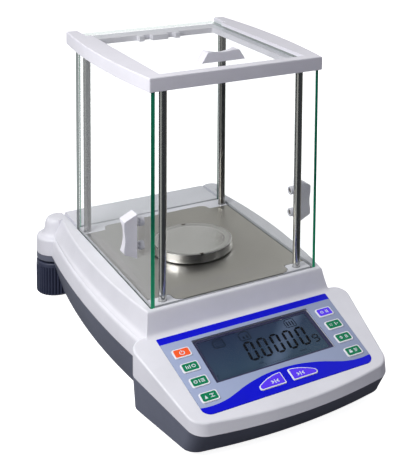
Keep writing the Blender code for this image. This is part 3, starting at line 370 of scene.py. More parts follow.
# rear rods: a darker copy of the rod steel, painted shade
ROD_REAR_SHADED = rod_steel("rear_column_rod_painted_shade", (0.22, 0.215, 0.21), (0.34, 0.335, 0.32), 0.09)
PANE = clear_sheet("shield_pane_glass", (0.993, 0.998, 0.995), 0.02, 0.26, 0.001, 0.004)
# the last three values paint the edge seen through its sheet: dark for the rear and door panes, faint for the front and
# pale for the top
EDGE = glass_edge("glass_cut_edge", (0.70, 0.80, 0.77), (0.045, 0.070, 0.064), 0.84)
DOOR_PANE = clear_sheet("door_pane_glass", (0.993, 0.998, 0.995), 0.02, 1.0, 0.001, 0.004)
EDGE_CLEAR = glass_edge("front_glass_cut_edge", (0.985, 0.995, 0.99), (0.5, 0.56, 0.54), 0.06)
EDGE_TOP = glass_edge("top_glass_cut_edge", (0.90, 0.95, 0.93), (0.62, 0.68, 0.66), 0.4)
WINDOW = clear_sheet("display_window_acrylic", (0.97, 0.975, 0.99), 0.06, 0.16, 0.001, 0.003, (0.55, 0.62, 0.8))
BEZEL = plastic("display_bezel_plastic", srgb(54, 54, 84), 0.32, 0.08, spec=0.2)
DIGIT = simple("lcd_segment", srgb(5, 6, 10), 0.6, 0.0, 0.02, spec=0.02)
FAINT = simple("lcd_faint_segment", srgb(31, 42, 58), 0.6, 0.0, 0.02, spec=0.02)
SYMBOL = simple("lcd_symbol_segment", srgb(13, 17, 25), 0.6, 0.0, 0.02, spec=0.02)
KEY_WHITE = plastic("key_border_white", srgb(238, 240, 246), 0.35, 0.06, spec=0.4)
ORANGE = plastic("key_orange_print", srgb(255, 96, 44), 0.36, 0.08, 2600.0, 0.03, spec=0.12)
GREEN = plastic("key_green_print", srgb(6, 126, 84), 0.36, 0.08, 2600.0, 0.04, spec=0.12)
VIOLET = plastic("key_violet_print", srgb(96, 58, 255), 0.36, 0.08, 2600.0, 0.03, spec=0.12)
MARKS = simple("key_mark_white", srgb(222, 232, 240), 0.4, 0.0, 0.04)
# painted shade for the inside of the grip bushes' bores
SHADE = plastic("bush_bore_painted_shade", srgb(108, 106, 102), 0.5, 0.1, spec=0.2)
DARK = plastic("socket_black_plastic", srgb(28, 28, 30), 0.4, 0.12)
BRIGHT = simple("plated_metal", (0.55, 0.55, 0.54), 0.28, 1.0, 0.1, 1500.0, 0.08)
PCB = simple("circuit_board_green", srgb(20, 84, 44), 0.45, 0.0, 0.1)
CAST = simple("cast_aluminium_grain", (0.5, 0.5, 0.51), 0.45, 1.0, 0.5, 700.0, 0.08)
IRON = simple("magnet_iron", (0.2, 0.2, 0.21), 0.4, 1.0, 0.3, 900.0, 0.1)
COPPER = simple("coil_winding", (0.62, 0.25, 0.1), 0.35, 1.0, 0.4, 2500.0, 0.12)
LAMS = brushed("core_laminations", (0.10, 0.10, 0.10), 0.5, (30, 30, 2500), 0.5, 0.2, 0.0)


def lcd_material():
    """Slate-blue liquid crystal: painted shade darkening towards the top and the left, cell structure and a satin
    polariser.
    """
    m, t, b = tree("lcd_cell")
    v = coords(t)
    sep = put(t, "ShaderNodeSeparateXYZ")
    feed(t, sep, 0, v)
    # painted shade: the cell tone darkens towards the top and towards the left
    shade_to_top = span(t, sep.outputs[1], 0.0, 1.0, -0.018, 0.034)
    side = span(t, sep.outputs[0], -0.12, 0.12, -0.055, 0.055)
    cloud = noise(t, v, 30.0, 3.0, 0.5)
    k = math_node(t, 'ADD', math_node(t, 'SUBTRACT', shade_to_top, side), math_node(t, 'MULTIPLY_ADD', cloud, 0.12, -0.06))
    tone = ramp(t, k, [(0.0, srgb(57, 79, 96)), (0.5, srgb(49, 68, 90)), (1.0, srgb(40, 54, 80))])
    # soft slanting gleams across the cell
    gleam = put(t, "ShaderNodeMath", operation='MULTIPLY_ADD')
    feed(t, gleam, 0, sep.outputs[1])
    gleam.inputs[1].default_value = -0.9
    feed(t, gleam, 2, sep.outputs[0])
    sheen = math_node(t, 'MULTIPLY', math_node(t, 'ADD', math_node(t, 'SINE', math_node(t, 'MULTIPLY', gleam.outputs[0], 105.0)),
                                               math_node(t, 'SINE', math_node(t, 'MULTIPLY_ADD', gleam.outputs[0], 61.0, 1.3))), 0.5)
    feed(t, b, "Base Color", mix_color(t, span(t, sheen, 0.0, 0.34, 0.25, 0.95), tone, srgb(132, 150, 176)))
    feed(t, b, "Roughness", span(t, noise(t, v, 400.0, 2.0), 0.28, 0.42))
    cell = noise(t, coords(t, scale=(3000, 3000, 1)), 1.0, 1.0)
    add_bump(t, b, cell, 0.05, 0.00003)
    b.inputs["Specular IOR Level"].default_value = 0.1
    return m


def film_material():
    """Printed keypad film: grey-blue ground, blue band along the top, blue wave along the bottom."""
    m, t, b = tree("keypad_printed_film")
    c = put(t, "ShaderNodeTexCoord")
    sep = put(t, "ShaderNodeSeparateXYZ")
    feed(t, sep, 0, c.outputs["Object"])
    u, v = sep.outputs[0], sep.outputs[1]
    # height of the wave against distance from the middle
    curve = put(t, "ShaderNodeFloatCurve")
    feed(t, curve, "Value", math_node(t, 'MULTIPLY', math_node(t, 'ABSOLUTE', u), 1.0 / 0.090))
    pts = [(0, -23.4), (6, -23.5), (15, -24.3), (25, -26.2), (36.5, -29.4), (48, -33.8), (59, -37.4), (70, -38.7),
           (80.8, -37.8), (90, -36.2)]
    cm = curve.mapping
    cu = cm.curves[0]
    while len(cu.points) < len(pts):
        cu.points.new(0.5, 0.5)
    for p, (x, y) in zip(cu.points, pts):
        p.location = (x / 90.0, (y + 40.0) / 20.0)
        p.handle_type = 'AUTO'
    cm.update()
    edge = math_node(t, 'MULTIPLY_ADD', curve.outputs[0], 0.020, -0.040)
    wave = math_node(t, 'LESS_THAN', v, edge)
    band = math_node(t, 'GREATER_THAN', v, 0.0386)
    blue = math_node(t, 'MAXIMUM', wave, band)
    # painted shade: the film's ground is lighter at the left and darker towards the right
    ground = ramp(t, span(t, u, 0.0, 1.0, -0.085, 0.085), [(0.0, srgb(166, 178, 210)), (1.0, srgb(150, 161, 190))])
    cloud = noise(t, coords(t), 60.0, 3.0)
    ink = ramp(t, cloud, [(0.3, srgb(4, 10, 216)), (0.7, srgb(8, 15, 206))])
    feed(t, b, "Base Color", mix_color(t, blue, ground, ink))
    fine = noise(t, coords(t), 3800.0, 2.0)
    feed(t, b, "Roughness", span(t, noise(t, coords(t), 260.0, 3.0), 0.34, 0.46))
    add_bump(t, b, fine, 0.12, 0.00004)
    b.inputs["Specular IOR Level"].default_value = 0.1
    return m


LCD = lcd_material()
FILM = film_material()

# =========================================================== mesh builders
TEMP = []


def obj_from(name, bm, mats, matrix=AXIS, smooth=35.0):
    bmesh.ops.scale(bm, vec=(MM, MM, MM), verts=bm.verts)
    bmesh.ops.recalc_face_normals(bm, faces=bm.faces)
    me = bpy.data.meshes.new(name)
    bm.to_mesh(me)
    bm.free()
    ob = bpy.data.objects.new(name, me)
    bpy.context.scene.collection.objects.link(ob)
    ob.matrix_world = matrix
    for m in (mats if isinstance(mats, (list, tuple)) else [mats]):
        if m:
            me.materials.append(m)
    if smooth:
        me.shade_smooth()
        me.set_sharp_from_angle(angle=math.radians(smooth))
    return ob


def box_bm(lo, hi, bm=None):
    bm = bm or bmesh.new()
    r = bmesh.ops.create_cube(bm, size=1.0)
    lo, hi = Vector(lo), Vector(hi)
    bmesh.ops.scale(bm, vec=hi - lo, verts=r["verts"])
    bmesh.ops.translate(bm, vec=(lo + hi) / 2, verts=r["verts"])
    return bm


def prism_bm(outline, z0, z1, bm=None, dz=None):
    bm = bm or bmesh.new()
    f = bm.faces.new([bm.verts.new((x, y, z0)) for x, y in outline])
    r = bmesh.ops.extrude_face_region(bm, geom=[f])
    vs = [g for g in r["geom"] if isinstance(g, bmesh.types.BMVert)]
    bmesh.ops.translate(bm, vec=(0, 0, z1 - z0), verts=vs)
    return bm


def tube_bm(r, z0, z1, segs=48, r_top=None, at=(0, 0), bm=None, matrix=None):
    bm = bm or bmesh.new()
    c = bmesh.ops.create_cone(bm, cap_ends=True, segments=segs, radius1=r, radius2=r if r_top is None else r_top,
                              depth=z1 - z0)
    bmesh.ops.translate(bm, vec=(at[0], at[1], (z0 + z1) / 2), verts=c["verts"])
    if matrix:
        bmesh.ops.transform(bm, matrix=matrix, verts=c["verts"])
    return bm


def turn_bm(profile, segs=72, wave=None):
    """Closed turned solid from (radius, height) points, top to bottom down the outer side."""
    bm = bmesh.new()
    rows = []
    for r, z in profile:
        if r <= 1e-6:
            rows.append([bm.verts.new((0, 0, z))])
        else:
            rows.append([bm.verts.new((r * math.cos(math.tau * i / segs), r * math.sin(math.tau * i / segs), z))
                         for i in range(segs)])
    closed = len(rows[0]) > 1 or len(rows[-1]) > 1
    pairs = list(zip(rows, rows[1:])) + ([(rows[-1], rows[0])] if closed else [])
    for a, b in pairs:
        if len(a) == 1 and len(b) == 1:
            continue
        for i in range(segs):
            j = (i + 1) % segs
            if len(a) == 1:
                bm.faces.new((a[0], b[i], b[j]))
            elif len(b) == 1:
                bm.faces.new((a[i], b[0], a[j]))
            else:
                bm.faces.new((a[i], b[i], b[j], a[j]))
    return bm


def loft_bm(rings):
    bm = bmesh.new()
    rows = [[bm.verts.new(p) for p in ring] for ring in rings]
    n = len(rows[0])
    for a, b in zip(rows, rows[1:]):
        for i in range(n):
            bm.faces.new((a[i], a[(i + 1) % n], b[(i + 1) % n], b[i]))
    bm.faces.new(list(reversed(rows[0])))
    bm.faces.new(rows[-1])
    return bm


def rounded(points, radii, n=6):
    out, m = [], len(points)
    for i, (p, r) in enumerate(zip(points, radii)):
        p = Vector(p)
        if r <= 0:
            out.append(tuple(p))
            continue
        a = (Vector(points[i - 1]) - p).normalized()
        b = (Vector(points[(i + 1) % m]) - p).normalized()
        half = a.angle(b) / 2
        reach = r / math.tan(half)
        centre = p + (a + b).normalized() * (r / math.sin(half))
        s, e = p + a * reach - centre, p + b * reach - centre
        turn = s.angle_signed(e)
        for k in range(n + 1):
            t = -turn * k / n
            out.append((centre.x + s.x * math.cos(t) - s.y * math.sin(t),
                        centre.y + s.x * math.sin(t) + s.y * math.cos(t)))
    return out


def bake(ob):
    """Applies the object's modifiers to its mesh."""
    bpy.context.view_layer.update()
    dg = bpy.context.evaluated_depsgraph_get()
    me = bpy.data.meshes.new_from_object(ob.evaluated_get(dg))
    ob.modifiers.clear()
    ob.data = me
    return ob


def cut(ob, bm, op='DIFFERENCE', matrix=AXIS):
    c = obj_from("cutter", bm, None, matrix, 0)
    c.hide_render = True
    TEMP.append(c)
    m = ob.modifiers.new(op.lower(), 'BOOLEAN')
    m.operation, m.object, m.solver = op, c, 'EXACT'
    return c


def cut_by(ob, c, op='DIFFERENCE'):
    m = ob.modifiers.new(op.lower(), 'BOOLEAN')
    m.operation, m.object, m.solver = op, c, 'EXACT'


def soften(ob, width, segments=2, angle=38.0, harden=True):
    m = ob.modifiers.new("edge", 'BEVEL')
    m.width, m.segments = width * MM, segments
    m.limit_method, m.angle_limit = 'ANGLE', math.radians(angle)
    m.use_clamp_overlap = True
    m.miter_outer = 'MITER_ARC'
    m.harden_normals = False
    return m


def done(ob, node, sharp=35.0, weighted=True):
    """Bakes a refined piece, lets it ride on its node's body, and hides that node."""
    bake(ob)
    bm = bmesh.new()
    bm.from_mesh(ob.data)
    bmesh.ops.remove_doubles(bm, verts=bm.verts, dist=1e-6)
    bmesh.ops.dissolve_degenerate(bm, edges=bm.edges, dist=1e-6)
    bm.to_mesh(ob.data)
    bm.free()
    ob.data.shade_smooth()
    ob.data.set_sharp_from_angle(angle=math.radians(sharp))
    if weighted:
        w = ob.modifiers.new("weighted", 'WEIGHTED_NORMAL')
        w.keep_sharp = True
        bake(ob)
    for o in list(TEMP):
        bpy.data.objects.remove(o, do_unlink=True)
    TEMP.clear()
    if node:
        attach(ob, BODY_OF[node])
        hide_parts(node)
    return ob


def detail(ob, node_body, slot_name):
    """An extra piece that rides with a node's body."""
    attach(ob, BODY_OF[node_body])
    return ob


# ========================================================= housing outlines
def body_numbers(z):
    for a, b in zip(BODY, BODY[1:]):
        if z <= b[0]:
            t = (z - a[0]) / (b[0] - a[0])
            return [p + (q - p) * t for p, q in zip(a, b)]
    return list(BODY[-1])


def climb(z, y):
    """Height at y of a housing line whose height at the front end is z."""
    for (a, f), (b, g) in zip(CLIMB, CLIMB[1:]):
        if z <= b:
            return z + (f + (g - f) * (z - a) / (b - a)) * LINE_RISE * (y - BLOCK_REAR_Y)
    return z


def part_height(y):
    return climb(PARTING_Z, y)


def body_ring(z, inset=0.0, push=0.0, n=30, corner=8):
    _, w, k, y0, front, rear, r = body_numbers(z)
    front, rear, r = front + inset + push, rear - inset, max(r - inset, 2.0)
    y_end = rear - r
    side = [(w - inset - k * (y - y0) ** 2, y) for y in (front + (y_end - front) * i / n for i in range(n + 1))]
    cx = side[-1][0] - r
    arc = [(cx + r * math.cos(a), y_end + r * math.sin(a)) for a in (math.pi / 2 * i / corner for i in range(1, corner + 1))]
    right = side + arc
    return [(x, y, climb(z, y)) for x, y in right] + [(-x, y, climb(z, y)) for x, y in reversed(right)]


def panel_height(y, depth=0.0):
    return PANEL_Z + (y - PANEL_Y) * math.tan(PANEL_TILT) - depth / math.cos(PANEL_TILT)


def block_part_height(y):
    return BLOCK_PART_Z + (y - BLOCK_REAR_Y) * BLOCK_PART_SLOPE


def block_outline(inset=0.0, front=BLOCK_FRONT_Y, n=12, bows=14):
    front += inset
    rear = BLOCK_REAR_Y - inset

    def side(y):
        return BLOCK_HALF + (y + 120.0) * BLOCK_TAPER - inset

    x = side(front + 10.5)
    nose = front + x * x / (2 * BLOCK_NOSE_R)
    lead = (x - 30.0, nose - 30.0 * x / BLOCK_NOSE_R)
    rear_arc = rounded([(0.0, rear), (side(rear), rear), (side(rear - 60), rear - 60)], [0, max(13.0 - inset, 2), 0], n)[1:-1]
    front_arc = rounded([(side(nose + 60), nose + 60), (x, nose), lead], [0, max(17.0 - inset, 2), 0], n)[1:-1]
    bow = [(u, front + u * u / (2 * BLOCK_NOSE_R)) for u in (66.0 * (1 - i / bows) for i in range(bows))]
    half = rear_arc + front_arc + bow
    return half + [(0.0, front)] + [(-x, y) for x, y in reversed(half)]


def ring(outline, height):
    return [(x, y, height(y)) for x, y in outline]


def outer_body_bm():
    return loft_bm([body_ring(6.0, 1.5), body_ring(6.2, 0.8), body_ring(6.8, 0.25), body_ring(7.8), body_ring(24.0),
                    body_ring(41.0), body_ring(48.0), body_ring(53.6), body_ring(55.0, 0.12), body_ring(56.1, 0.45),
                    body_ring(56.8, 1.0), body_ring(57.3, 1.55), body_ring(58.0, 1.0), body_ring(58.9, 0.35),
                    body_ring(59.8, 0.0, -0.4), body_ring(60.3, -0.1, -0.9), body_ring(60.8, -0.28, -0.7),
                    body_ring(61.5, -0.3, -0.35), body_ring(62.5, -0.1, -0.05), body_ring(64.0), body_ring(69.0), body_ring(73.5),
                    body_ring(78.0), body_ring(78.9, 0.1), body_ring(79.5, 0.4), body_ring(79.87, 0.9),
                    body_ring(DECK_Z, 1.6)])


def outer_block_bm():
    f, lean = BLOCK_FRONT_Y + 10.0, BLOCK_FRONT_Y + 2.2
    return loft_bm([ring(block_outline(3.3, f), lambda y: 6.0), ring(block_outline(2.6, f), lambda y: 6.2),
                    ring(block_outline(2.05, f), lambda y: 6.8), ring(block_outline(1.8, f), lambda y: 7.8),
                    ring(block_outline(0.0), block_part_height),
                    ring(block_outline(0.0, lean), lambda y: panel_height(y, 1.7)),
                    ring(block_outline(0.1, lean), lambda y: panel_height(y, 1.1)),
                    ring(block_outline(0.35, lean), lambda y: panel_height(y, 0.65)),
                    ring(block_outline(0.75, lean), lambda y: panel_height(y, 0.32)),
                    ring(block_outline(1.3, lean), lambda y: panel_height(y, 0.1)),
                    ring(block_outline(2.0, lean), lambda y: panel_height(y))])


def zone_bm(outline):
    bm = prism_bm(outline, -130, 130)
    bmesh.ops.transform(bm, matrix=Matrix(((0, 0, 1, 0), (1, 0, 0, 0), (0, 1, 0, 0), (0, 0, 0, 1))), verts=bm.verts)
    return bm


def cavity_bm(top=True):
    if top:
        return loft_bm([body_ring(9.0, 3.6, 0, 9, 3), body_ring(36.0, 3.6, 0, 9, 3), body_ring(53.5, WALL, 0, 9, 3),
                        body_ring(58.5, 4.0, 0, 9, 3), body_ring(62.0, WALL, 0, 9, 3),
                        body_ring(DECK_Z - DECK_THICK, WALL, 0, 9, 3)])
    return loft_bm([body_ring(9.0, 3.6, 0, 9, 3), body_ring(41.0, WALL, 0, 9, 3)])


def cavity_block_bm():
    return loft_bm([ring(block_outline(5.0, BLOCK_FRONT_Y + 10.0, 5, 5), lambda y: 9.0),
                    ring(block_outline(WALL, BLOCK_FRONT_Y, 5, 5), lambda y: block_part_height(y) + 3.0),
                    ring(block_outline(WALL, BLOCK_FRONT_Y, 5, 5), lambda y: panel_height(y, 3.2))])


TOWER = [(0, 79.9), (5.0, 79.9), (7.8, 79.75), (9.4, 79.3), (10.6, 78.5), (11.5, 77.3), (12.1, 75.9), (12.5, 74.3),
         (12.8, 72.6), (13.1, 70.6), (13.6, 67.4), (14.2, 64.8), (15.0, 63.0), (16.2, 61.9), (17.6, 61.5), (19.0, 61.4),
         (20.1, 61.2), (20.9, 60.6), (21.3, 59.8), (COLLAR_R, 58.8), (COLLAR_R, COLLAR_Z0), (0, COLLAR_Z0)]


def web_bm(s):
    """Rear wall carried on past the deck's corner into the tower."""
    def level(z, inset):
        pts = [(76.0, 134.0), (92.5 - inset, 134.0), (92.5 - inset, 154.0 - inset), (76.0, 154.0 - inset)]
        if s < 0:
            pts = [(-x, y) for x, y in reversed(pts)]
            r = [0, 7.0 - inset, 0, 0]
        else:
            r = [0, 0, 7.0 - inset, 0]
        return [(x, y, z) for x, y in rounded(pts, r, 8)]
    return loft_bm([level(63.0, 0.0), level(78.0, 0.0), level(78.9, 0.1), level(79.45, 0.4), level(79.8, 0.9),
                    level(79.93, 1.5)])


def overlay_outline(grow=0.0, n=8):
    g = grow
    return rounded([(-80.4 - g, -46.5 - g), (80.4 + g, -46.5 - g), (85.0 + g, 46.5 + g), (-85.0 - g, 46.5 + g)],
                   [8.0 + g, 8.0 + g, 1.0 + g, 1.0 + g], n)


def rect(u0, v0, u1, v1, r=0.0, n=6):
    pts = [(u0, v0), (u1, v0), (u1, v1), (u0, v1)]
    return rounded(pts, [r] * 4, n) if r > 0 else pts


def wing(sign, grow=0.0, n=20):
    """Wing-shaped tare key, corners rounded."""
    tip, root, low = 28.3 + grow, 3.3 - grow, -40.2 - grow
    r = 1.1 + max(grow, -0.9)
    top = [(u, -26.9 + grow - 0.0143 * (u - 3.3) ** 2) for u in (root + (tip - 1.2 - root) * i / n for i in range(n + 1))]
    corner = rounded([top[3], top[0], (root, low), (tip - 3.0, low)], [0, r, r, 0], 5)[1:-1]
    nose = rounded([(tip - 9.0, low), (tip - 0.2, low), top[-1], top[-4]], [0, 2.6 + min(grow, 0.0) * 0.8, 1.2, 0], 6)[1:-1]
    pts = corner + nose + list(reversed(top[2:-3]))
    pts = [(sign * u, v) for u, v in pts]
    return pts if sign > 0 else list(reversed(pts))


def plate_outline(grow=0.0, n=10):
    g = grow
    half = [(58.0 + g, -94.6 - g, 8.0), (58.0 + g, -81.0 - g, 3.0), (79.4 + g, -81.0 - g, 0.0),
            (79.4 + g, 84.0 + g, 0.0), (58.0 + g, 84.0 + g, 3.0), (58.0 + g, 95.5 + g, 8.0)]
    pts = half + [(-x, y, r) for x, y, r in reversed(half)]
    return rounded([(x, y) for x, y, _ in pts], [r for _, _, r in pts], n)


KEYS = []
for _col, _s in (("left", -1), ("right", 1)):
    for _row, (_v, _u) in enumerate(zip(KEY_ROWS, KEY_U), 1):
        KEYS.append(("key_%s_%d" % (_col, _row), _s * _u, _v))


def at(x, y, z=0.0):
    return AXIS @ Matrix.Translation((x * MM, y * MM, z * MM))


def on_panel(u, v, w=0.0):
    return PANEL @ Matrix.Translation((u * MM, v * MM, w * MM))


# =========================================================== upper housing
def build_upper():
    ob = obj_from("upper_housing_shell", outer_body_bm(), WHITE, smooth=0)
    cut(ob, outer_block_bm(), 'UNION')
    for s in (-1, 1):
        cut(ob, turn_bm(TOWER, 72), 'UNION', at(s * FOOT_X, FOOT_Y))
    for s in (-1, 1):
        cut(ob, web_bm(s), 'UNION')
    cut(ob, cavity_bm())
    cut(ob, cavity_block_bm())
    cut(ob, zone_bm([(-260, block_part_height(-260)), (-107, block_part_height(-107)), (-107, part_height(-107)),
                     (200, part_height(200)), (200, 130), (-260, 130)]), 'INTERSECT')
    for s in (-1, 1):
        cut(ob, tube_bm(10.0, 20.0, 70.0, 32), matrix=at(s * FOOT_X, FOOT_Y))
    for x, y in SCREWS.values():
        z0 = block_part_height(y) if y < 0 else part_height(y)
        z1 = panel_height(y, 1.5) if y < 0 else DECK_Z - DECK_THICK + 1
        cut(ob, tube_bm(4.6, z0, z1, 24), 'UNION', at(x, y))
        cut(ob, tube_bm(1.8, z0 - 5, z0 + 12.5, 16), matrix=at(x, y))
    cut(ob, prism_bm(plate_outline(0.6), DECK_Z - 1.2, DECK_Z + 5))
    cut(ob, tube_bm(13.0, DECK_Z - 20, DECK_Z + 5, 48))
    for s in (-1, 1):
        cut(ob, box_bm((s * DOOR_X - 1.8, -98.8, DECK_Z - GROOVE), (s * DOOR_X + 1.8, 175, DECK_Z + 5)))
    cut(ob, box_bm((-81, -98.8, DECK_Z - GROOVE), (81, -95.2, DECK_Z + 5)))
    cut(ob, box_bm((-81, 104.2, DECK_Z - GROOVE), (81, 107.8, DECK_Z + 5)))
    for x, y in COLS.values():
        cut(ob, tube_bm(COL_R + 0.35, DECK_Z - 4, DECK_Z + 5, 32), matrix=at(x, y))
    cut(ob, prism_bm(overlay_outline(0.3), -1.1, 8), matrix=PANEL)
    cut(ob, prism_bm(rect(-57.9, -18.3, 57.9, 34.9), -12, 2), matrix=PANEL)
    for _, u, v in KEYS:
        cut(ob, prism_bm(rect(-8.3, -5.8, 8.3, 5.8, 2.2, 4), -9, 3), matrix=on_panel(u, v))
    for s in (-1, 1):
        cut(ob, prism_bm(wing(s, GAP), -9, 3), matrix=PANEL)
    bake(ob)
    soften(ob, 0.28, 2, 42.0)
    return done(ob, "upper_housing", 32.0)


def build_lower():
    ob = obj_from("lower_housing_shell", outer_body_bm(), GREY, smooth=0)
    cut(ob, outer_block_bm(), 'UNION')
    for s in (-1, 1):
        cut(ob, turn_bm(TOWER, 72), 'UNION', at(s * FOOT_X, FOOT_Y))
    cut(ob, zone_bm([(-260, -10), (200, -10), (200, part_height(200) - GAP), (-106.7, part_height(-106.7) - GAP),
                     (-106.7, block_part_height(-106.7) - GAP), (-260, block_part_height(-260) - GAP)]), 'INTERSECT')
    hollow = obj_from("hollow", cavity_bm(False), None, smooth=0)
    hollow.hide_render = True
    for s in (-1, 1):
        cut(hollow, tube_bm(25.0, 0, 65, 48), matrix=at(s * FOOT_X, FOOT_Y))
    bake(hollow)
    TEMP.append(hollow)
    cut_by(ob, hollow)
    cut(ob, cavity_block_bm())
    for s in (-1, 1):
        cut(ob, tube_bm(22.6, -5, COLLAR_Z0, 64), matrix=at(s * FOOT_X, FOOT_Y))
        cut(ob, tube_bm(5.0, 10, 60, 32), matrix=at(s * FOOT_X, FOOT_Y))
        cut(ob, tube_bm(3.0, 0, 20, 24), matrix=at(s * FRONT_FOOT[0], FRONT_FOOT[1]))
    for x, y in SCREWS.values():
        z1 = (block_part_height(y) if y < 0 else part_height(y)) - 2 * GAP
        cut(ob, tube_bm(5.6, 7.0, z1, 28), 'UNION', at(x, y))
        cut(ob, tube_bm(1.8, 0, z1 + 5, 16), matrix=at(x, y))
        cut(ob, tube_bm(3.9, 0, 16.0, 28), matrix=at(x, y))
    cut(ob, box_bm((-46.3, 140, 13.7), (-17.7, 175, 34.3)))
    cut(ob, box_bm((16.7, 140, 16.7), (41.3, 175, 27.3)))
    bake(ob)
    soften(ob, 0.28, 2, 42.0)
    return done(ob, "lower_housing", 32.0)


build_upper()
build_lower()

# ========================================================== chamber floor
ob = obj_from("floor_plate_sheet", prism_bm(plate_outline(), DECK_Z - 0.9, DECK_Z + 0.1), PLATE, smooth=0)
cut(ob, turn_bm([(12.5, DECK_Z + 4.2), (12.7, DECK_Z + 4.35), (13.2, DECK_Z + 4.35), (13.5, DECK_Z + 4.1),
                 (13.5, DECK_Z + 1.2), (13.9, DECK_Z + 0.5), (15.0, DECK_Z + 0.06), (15.0, DECK_Z - 0.4),
                 (12.5, DECK_Z - 0.4)], 64), 'UNION')
cut(ob, tube_bm(12.3, DECK_Z - 5, DECK_Z + 8, 64))
bake(ob)
soften(ob, 0.12, 2, 50.0)
done(ob, "floor_plate")

for name, (x, y) in COLS.items():
    c = obj_from(name + "_rod", turn_bm([(0, 276.9), (COL_R - 0.4, 276.9), (COL_R, 276.5), (COL_R, 84.0), (COL_R, 79.2),
                                         (COL_R - 0.25, 78.9), (COL_R - 0.25, 76.8), (COL_R - 0.6, 76.3), (0, 76.3)], 56),
                 ROD_REAR_SHADED if "rear" in name else ROD, at(x, y))
    done(c, name, 40.0)

# ============================================================== top frame
def frame_outline(inset=0.0, n=36):
    y0, y1 = -101.3 + inset, 117.0 - inset
    side = [(94.0 - inset - 5.46e-4 * (y - 20.0) ** 2, y) for y in (y0 + (y1 - y0) * i / n for i in range(n + 1))]
    pts = side + [(-x, y) for x, y in reversed(side)]
    return rounded(pts, [1.5 if i in (0, n, n + 1, 2 * n + 1) else 0 for i in range(len(pts))], 5)


def fring(z, inset):
    return [(x, y, z) for x, y in frame_outline(inset)]


ob = obj_from("top_frame_moulding", loft_bm([fring(FRAME_Z0, 0.5), fring(FRAME_Z0 + 0.15, 0.15), fring(FRAME_Z0 + 0.5, 0.0),
                                             fring(FRAME_Z1 - 1.2, 0.0), fring(FRAME_Z1 - 0.7, 0.1),
                                             fring(FRAME_Z1 - 0.3, 0.35), fring(FRAME_Z1 - 0.07, 0.7),
                                             fring(FRAME_Z1, 1.2)]), FRAME_W, smooth=0)
# window of the frame, with three stop lugs left standing along its rear edge
lug = [(67, 97), (26, 97), (26, 90), (20, 90), (20, 97), (12.5, 97), (12.5, 90), (-5.5, 90), (-5.5, 97), (-14, 97),
       (-14, 90), (-20, 90), (-20, 97), (-67, 97)]
cut(ob, prism_bm(rounded([(-67, -83), (67, -83)] + lug, [2.0, 2.0] + [0.8 if abs(x) < 60 else 2.0 for x, _ in lug], 4),
                 FRAME_Z0 - 5, FRAME_Z1 + 5))
cut(ob, box_bm((-75.6, -94.6, LEDGE_Z), (75.6, 130, LIP_Z)))
cut(ob, box_bm((-72.3, -90.5, LEDGE_Z + 1), (72.3, 130, FRAME_Z1 + 5)))
cut(ob, box_bm((-77.6, 87, LEDGE_Z), (77.6, 130, FRAME_Z1 + 5)))
for s in (-1, 1):
    cut(ob, box_bm((s * DOOR_X - 1.8, -98.8, FRAME_Z0 - 5), (s * DOOR_X + 1.8, 130, FRAME_Z0 + GROOVE)))
cut(ob, box_bm((-81, -98.8, FRAME_Z0 - 5), (81, -95.2, FRAME_Z0 + GROOVE)))
cut(ob, box_bm((-79, 104.2, FRAME_Z0 - 5), (79, 107.8, FRAME_Z0 + GROOVE)))
for x, y in COLS.values():
    cut(ob, tube_bm(COL_R + 0.2, FRAME_Z0 - 5, FRAME_Z0 + 4.6, 32), matrix=at(x, y))
bake(ob)
soften(ob, 0.35, 2, 45.0)
done(ob, "top_frame", 35.0)

# ================================================================== glass
GZ0, GZ1 = DECK_Z - GROOVE + GAP, FRAME_Z0 + GROOVE - GAP


def pane(name, node, lo, hi, thin, holes=(), edge=EDGE, face=PANE):
    """Sheet with ground edges; its large faces are clear and its cut edges green."""
    ob = obj_from(name, box_bm(lo, hi), [face, edge], smooth=0)
    for c in holes:
        cut(ob, tube_bm(3.3, -8, 8, 40, matrix=Matrix.Translation(Vector(c)) @ Matrix.Rotation(math.pi / 2, 4, 'Y')))
    bake(ob)
    soften(ob, 0.22, 1, 60.0)
    bake(ob)
    near = [Vector(c) * MM for c in holes]
    for f in ob.data.polygons:
        bore = any((f.center - c).length < 0.005 for c in near)
        f.material_index = 0 if abs(f.normal[thin]) > 0.9 or bore else 1
    return done(ob, node, 30.0, weighted=False)


pane("front_glass_pane", "front_glass", (-79.9, -98.5, GZ0), (79.9, -95.5, GZ1), 1, edge=EDGE_CLEAR)
pane("rear_glass_pane", "rear_glass", (-78.6, 104.5, GZ0), (78.6, 107.5, GZ1), 1)
PEG_Y, PEG_Z = -61.0, (122.5, 144.5)
for s, side in ((-1, "left"), (1, "right")):
    lo, hi = sorted((s * (DOOR_X - 1.5), s * (DOOR_X + 1.5)))
    pane(side + "_door_pane", side + "_door_glass", (lo, -98.5, GZ0), (hi, 103.6, GZ1), 0,
         [(s * DOOR_X, PEG_Y, z) for z in PEG_Z], face=DOOR_PANE)
pane("top_door_pane", "top_door_glass", (-75.2, -94.2, LEDGE_Z + GAP), (75.2, 117.5, LEDGE_Z + GAP + GLASS), 2,
     edge=EDGE_TOP)

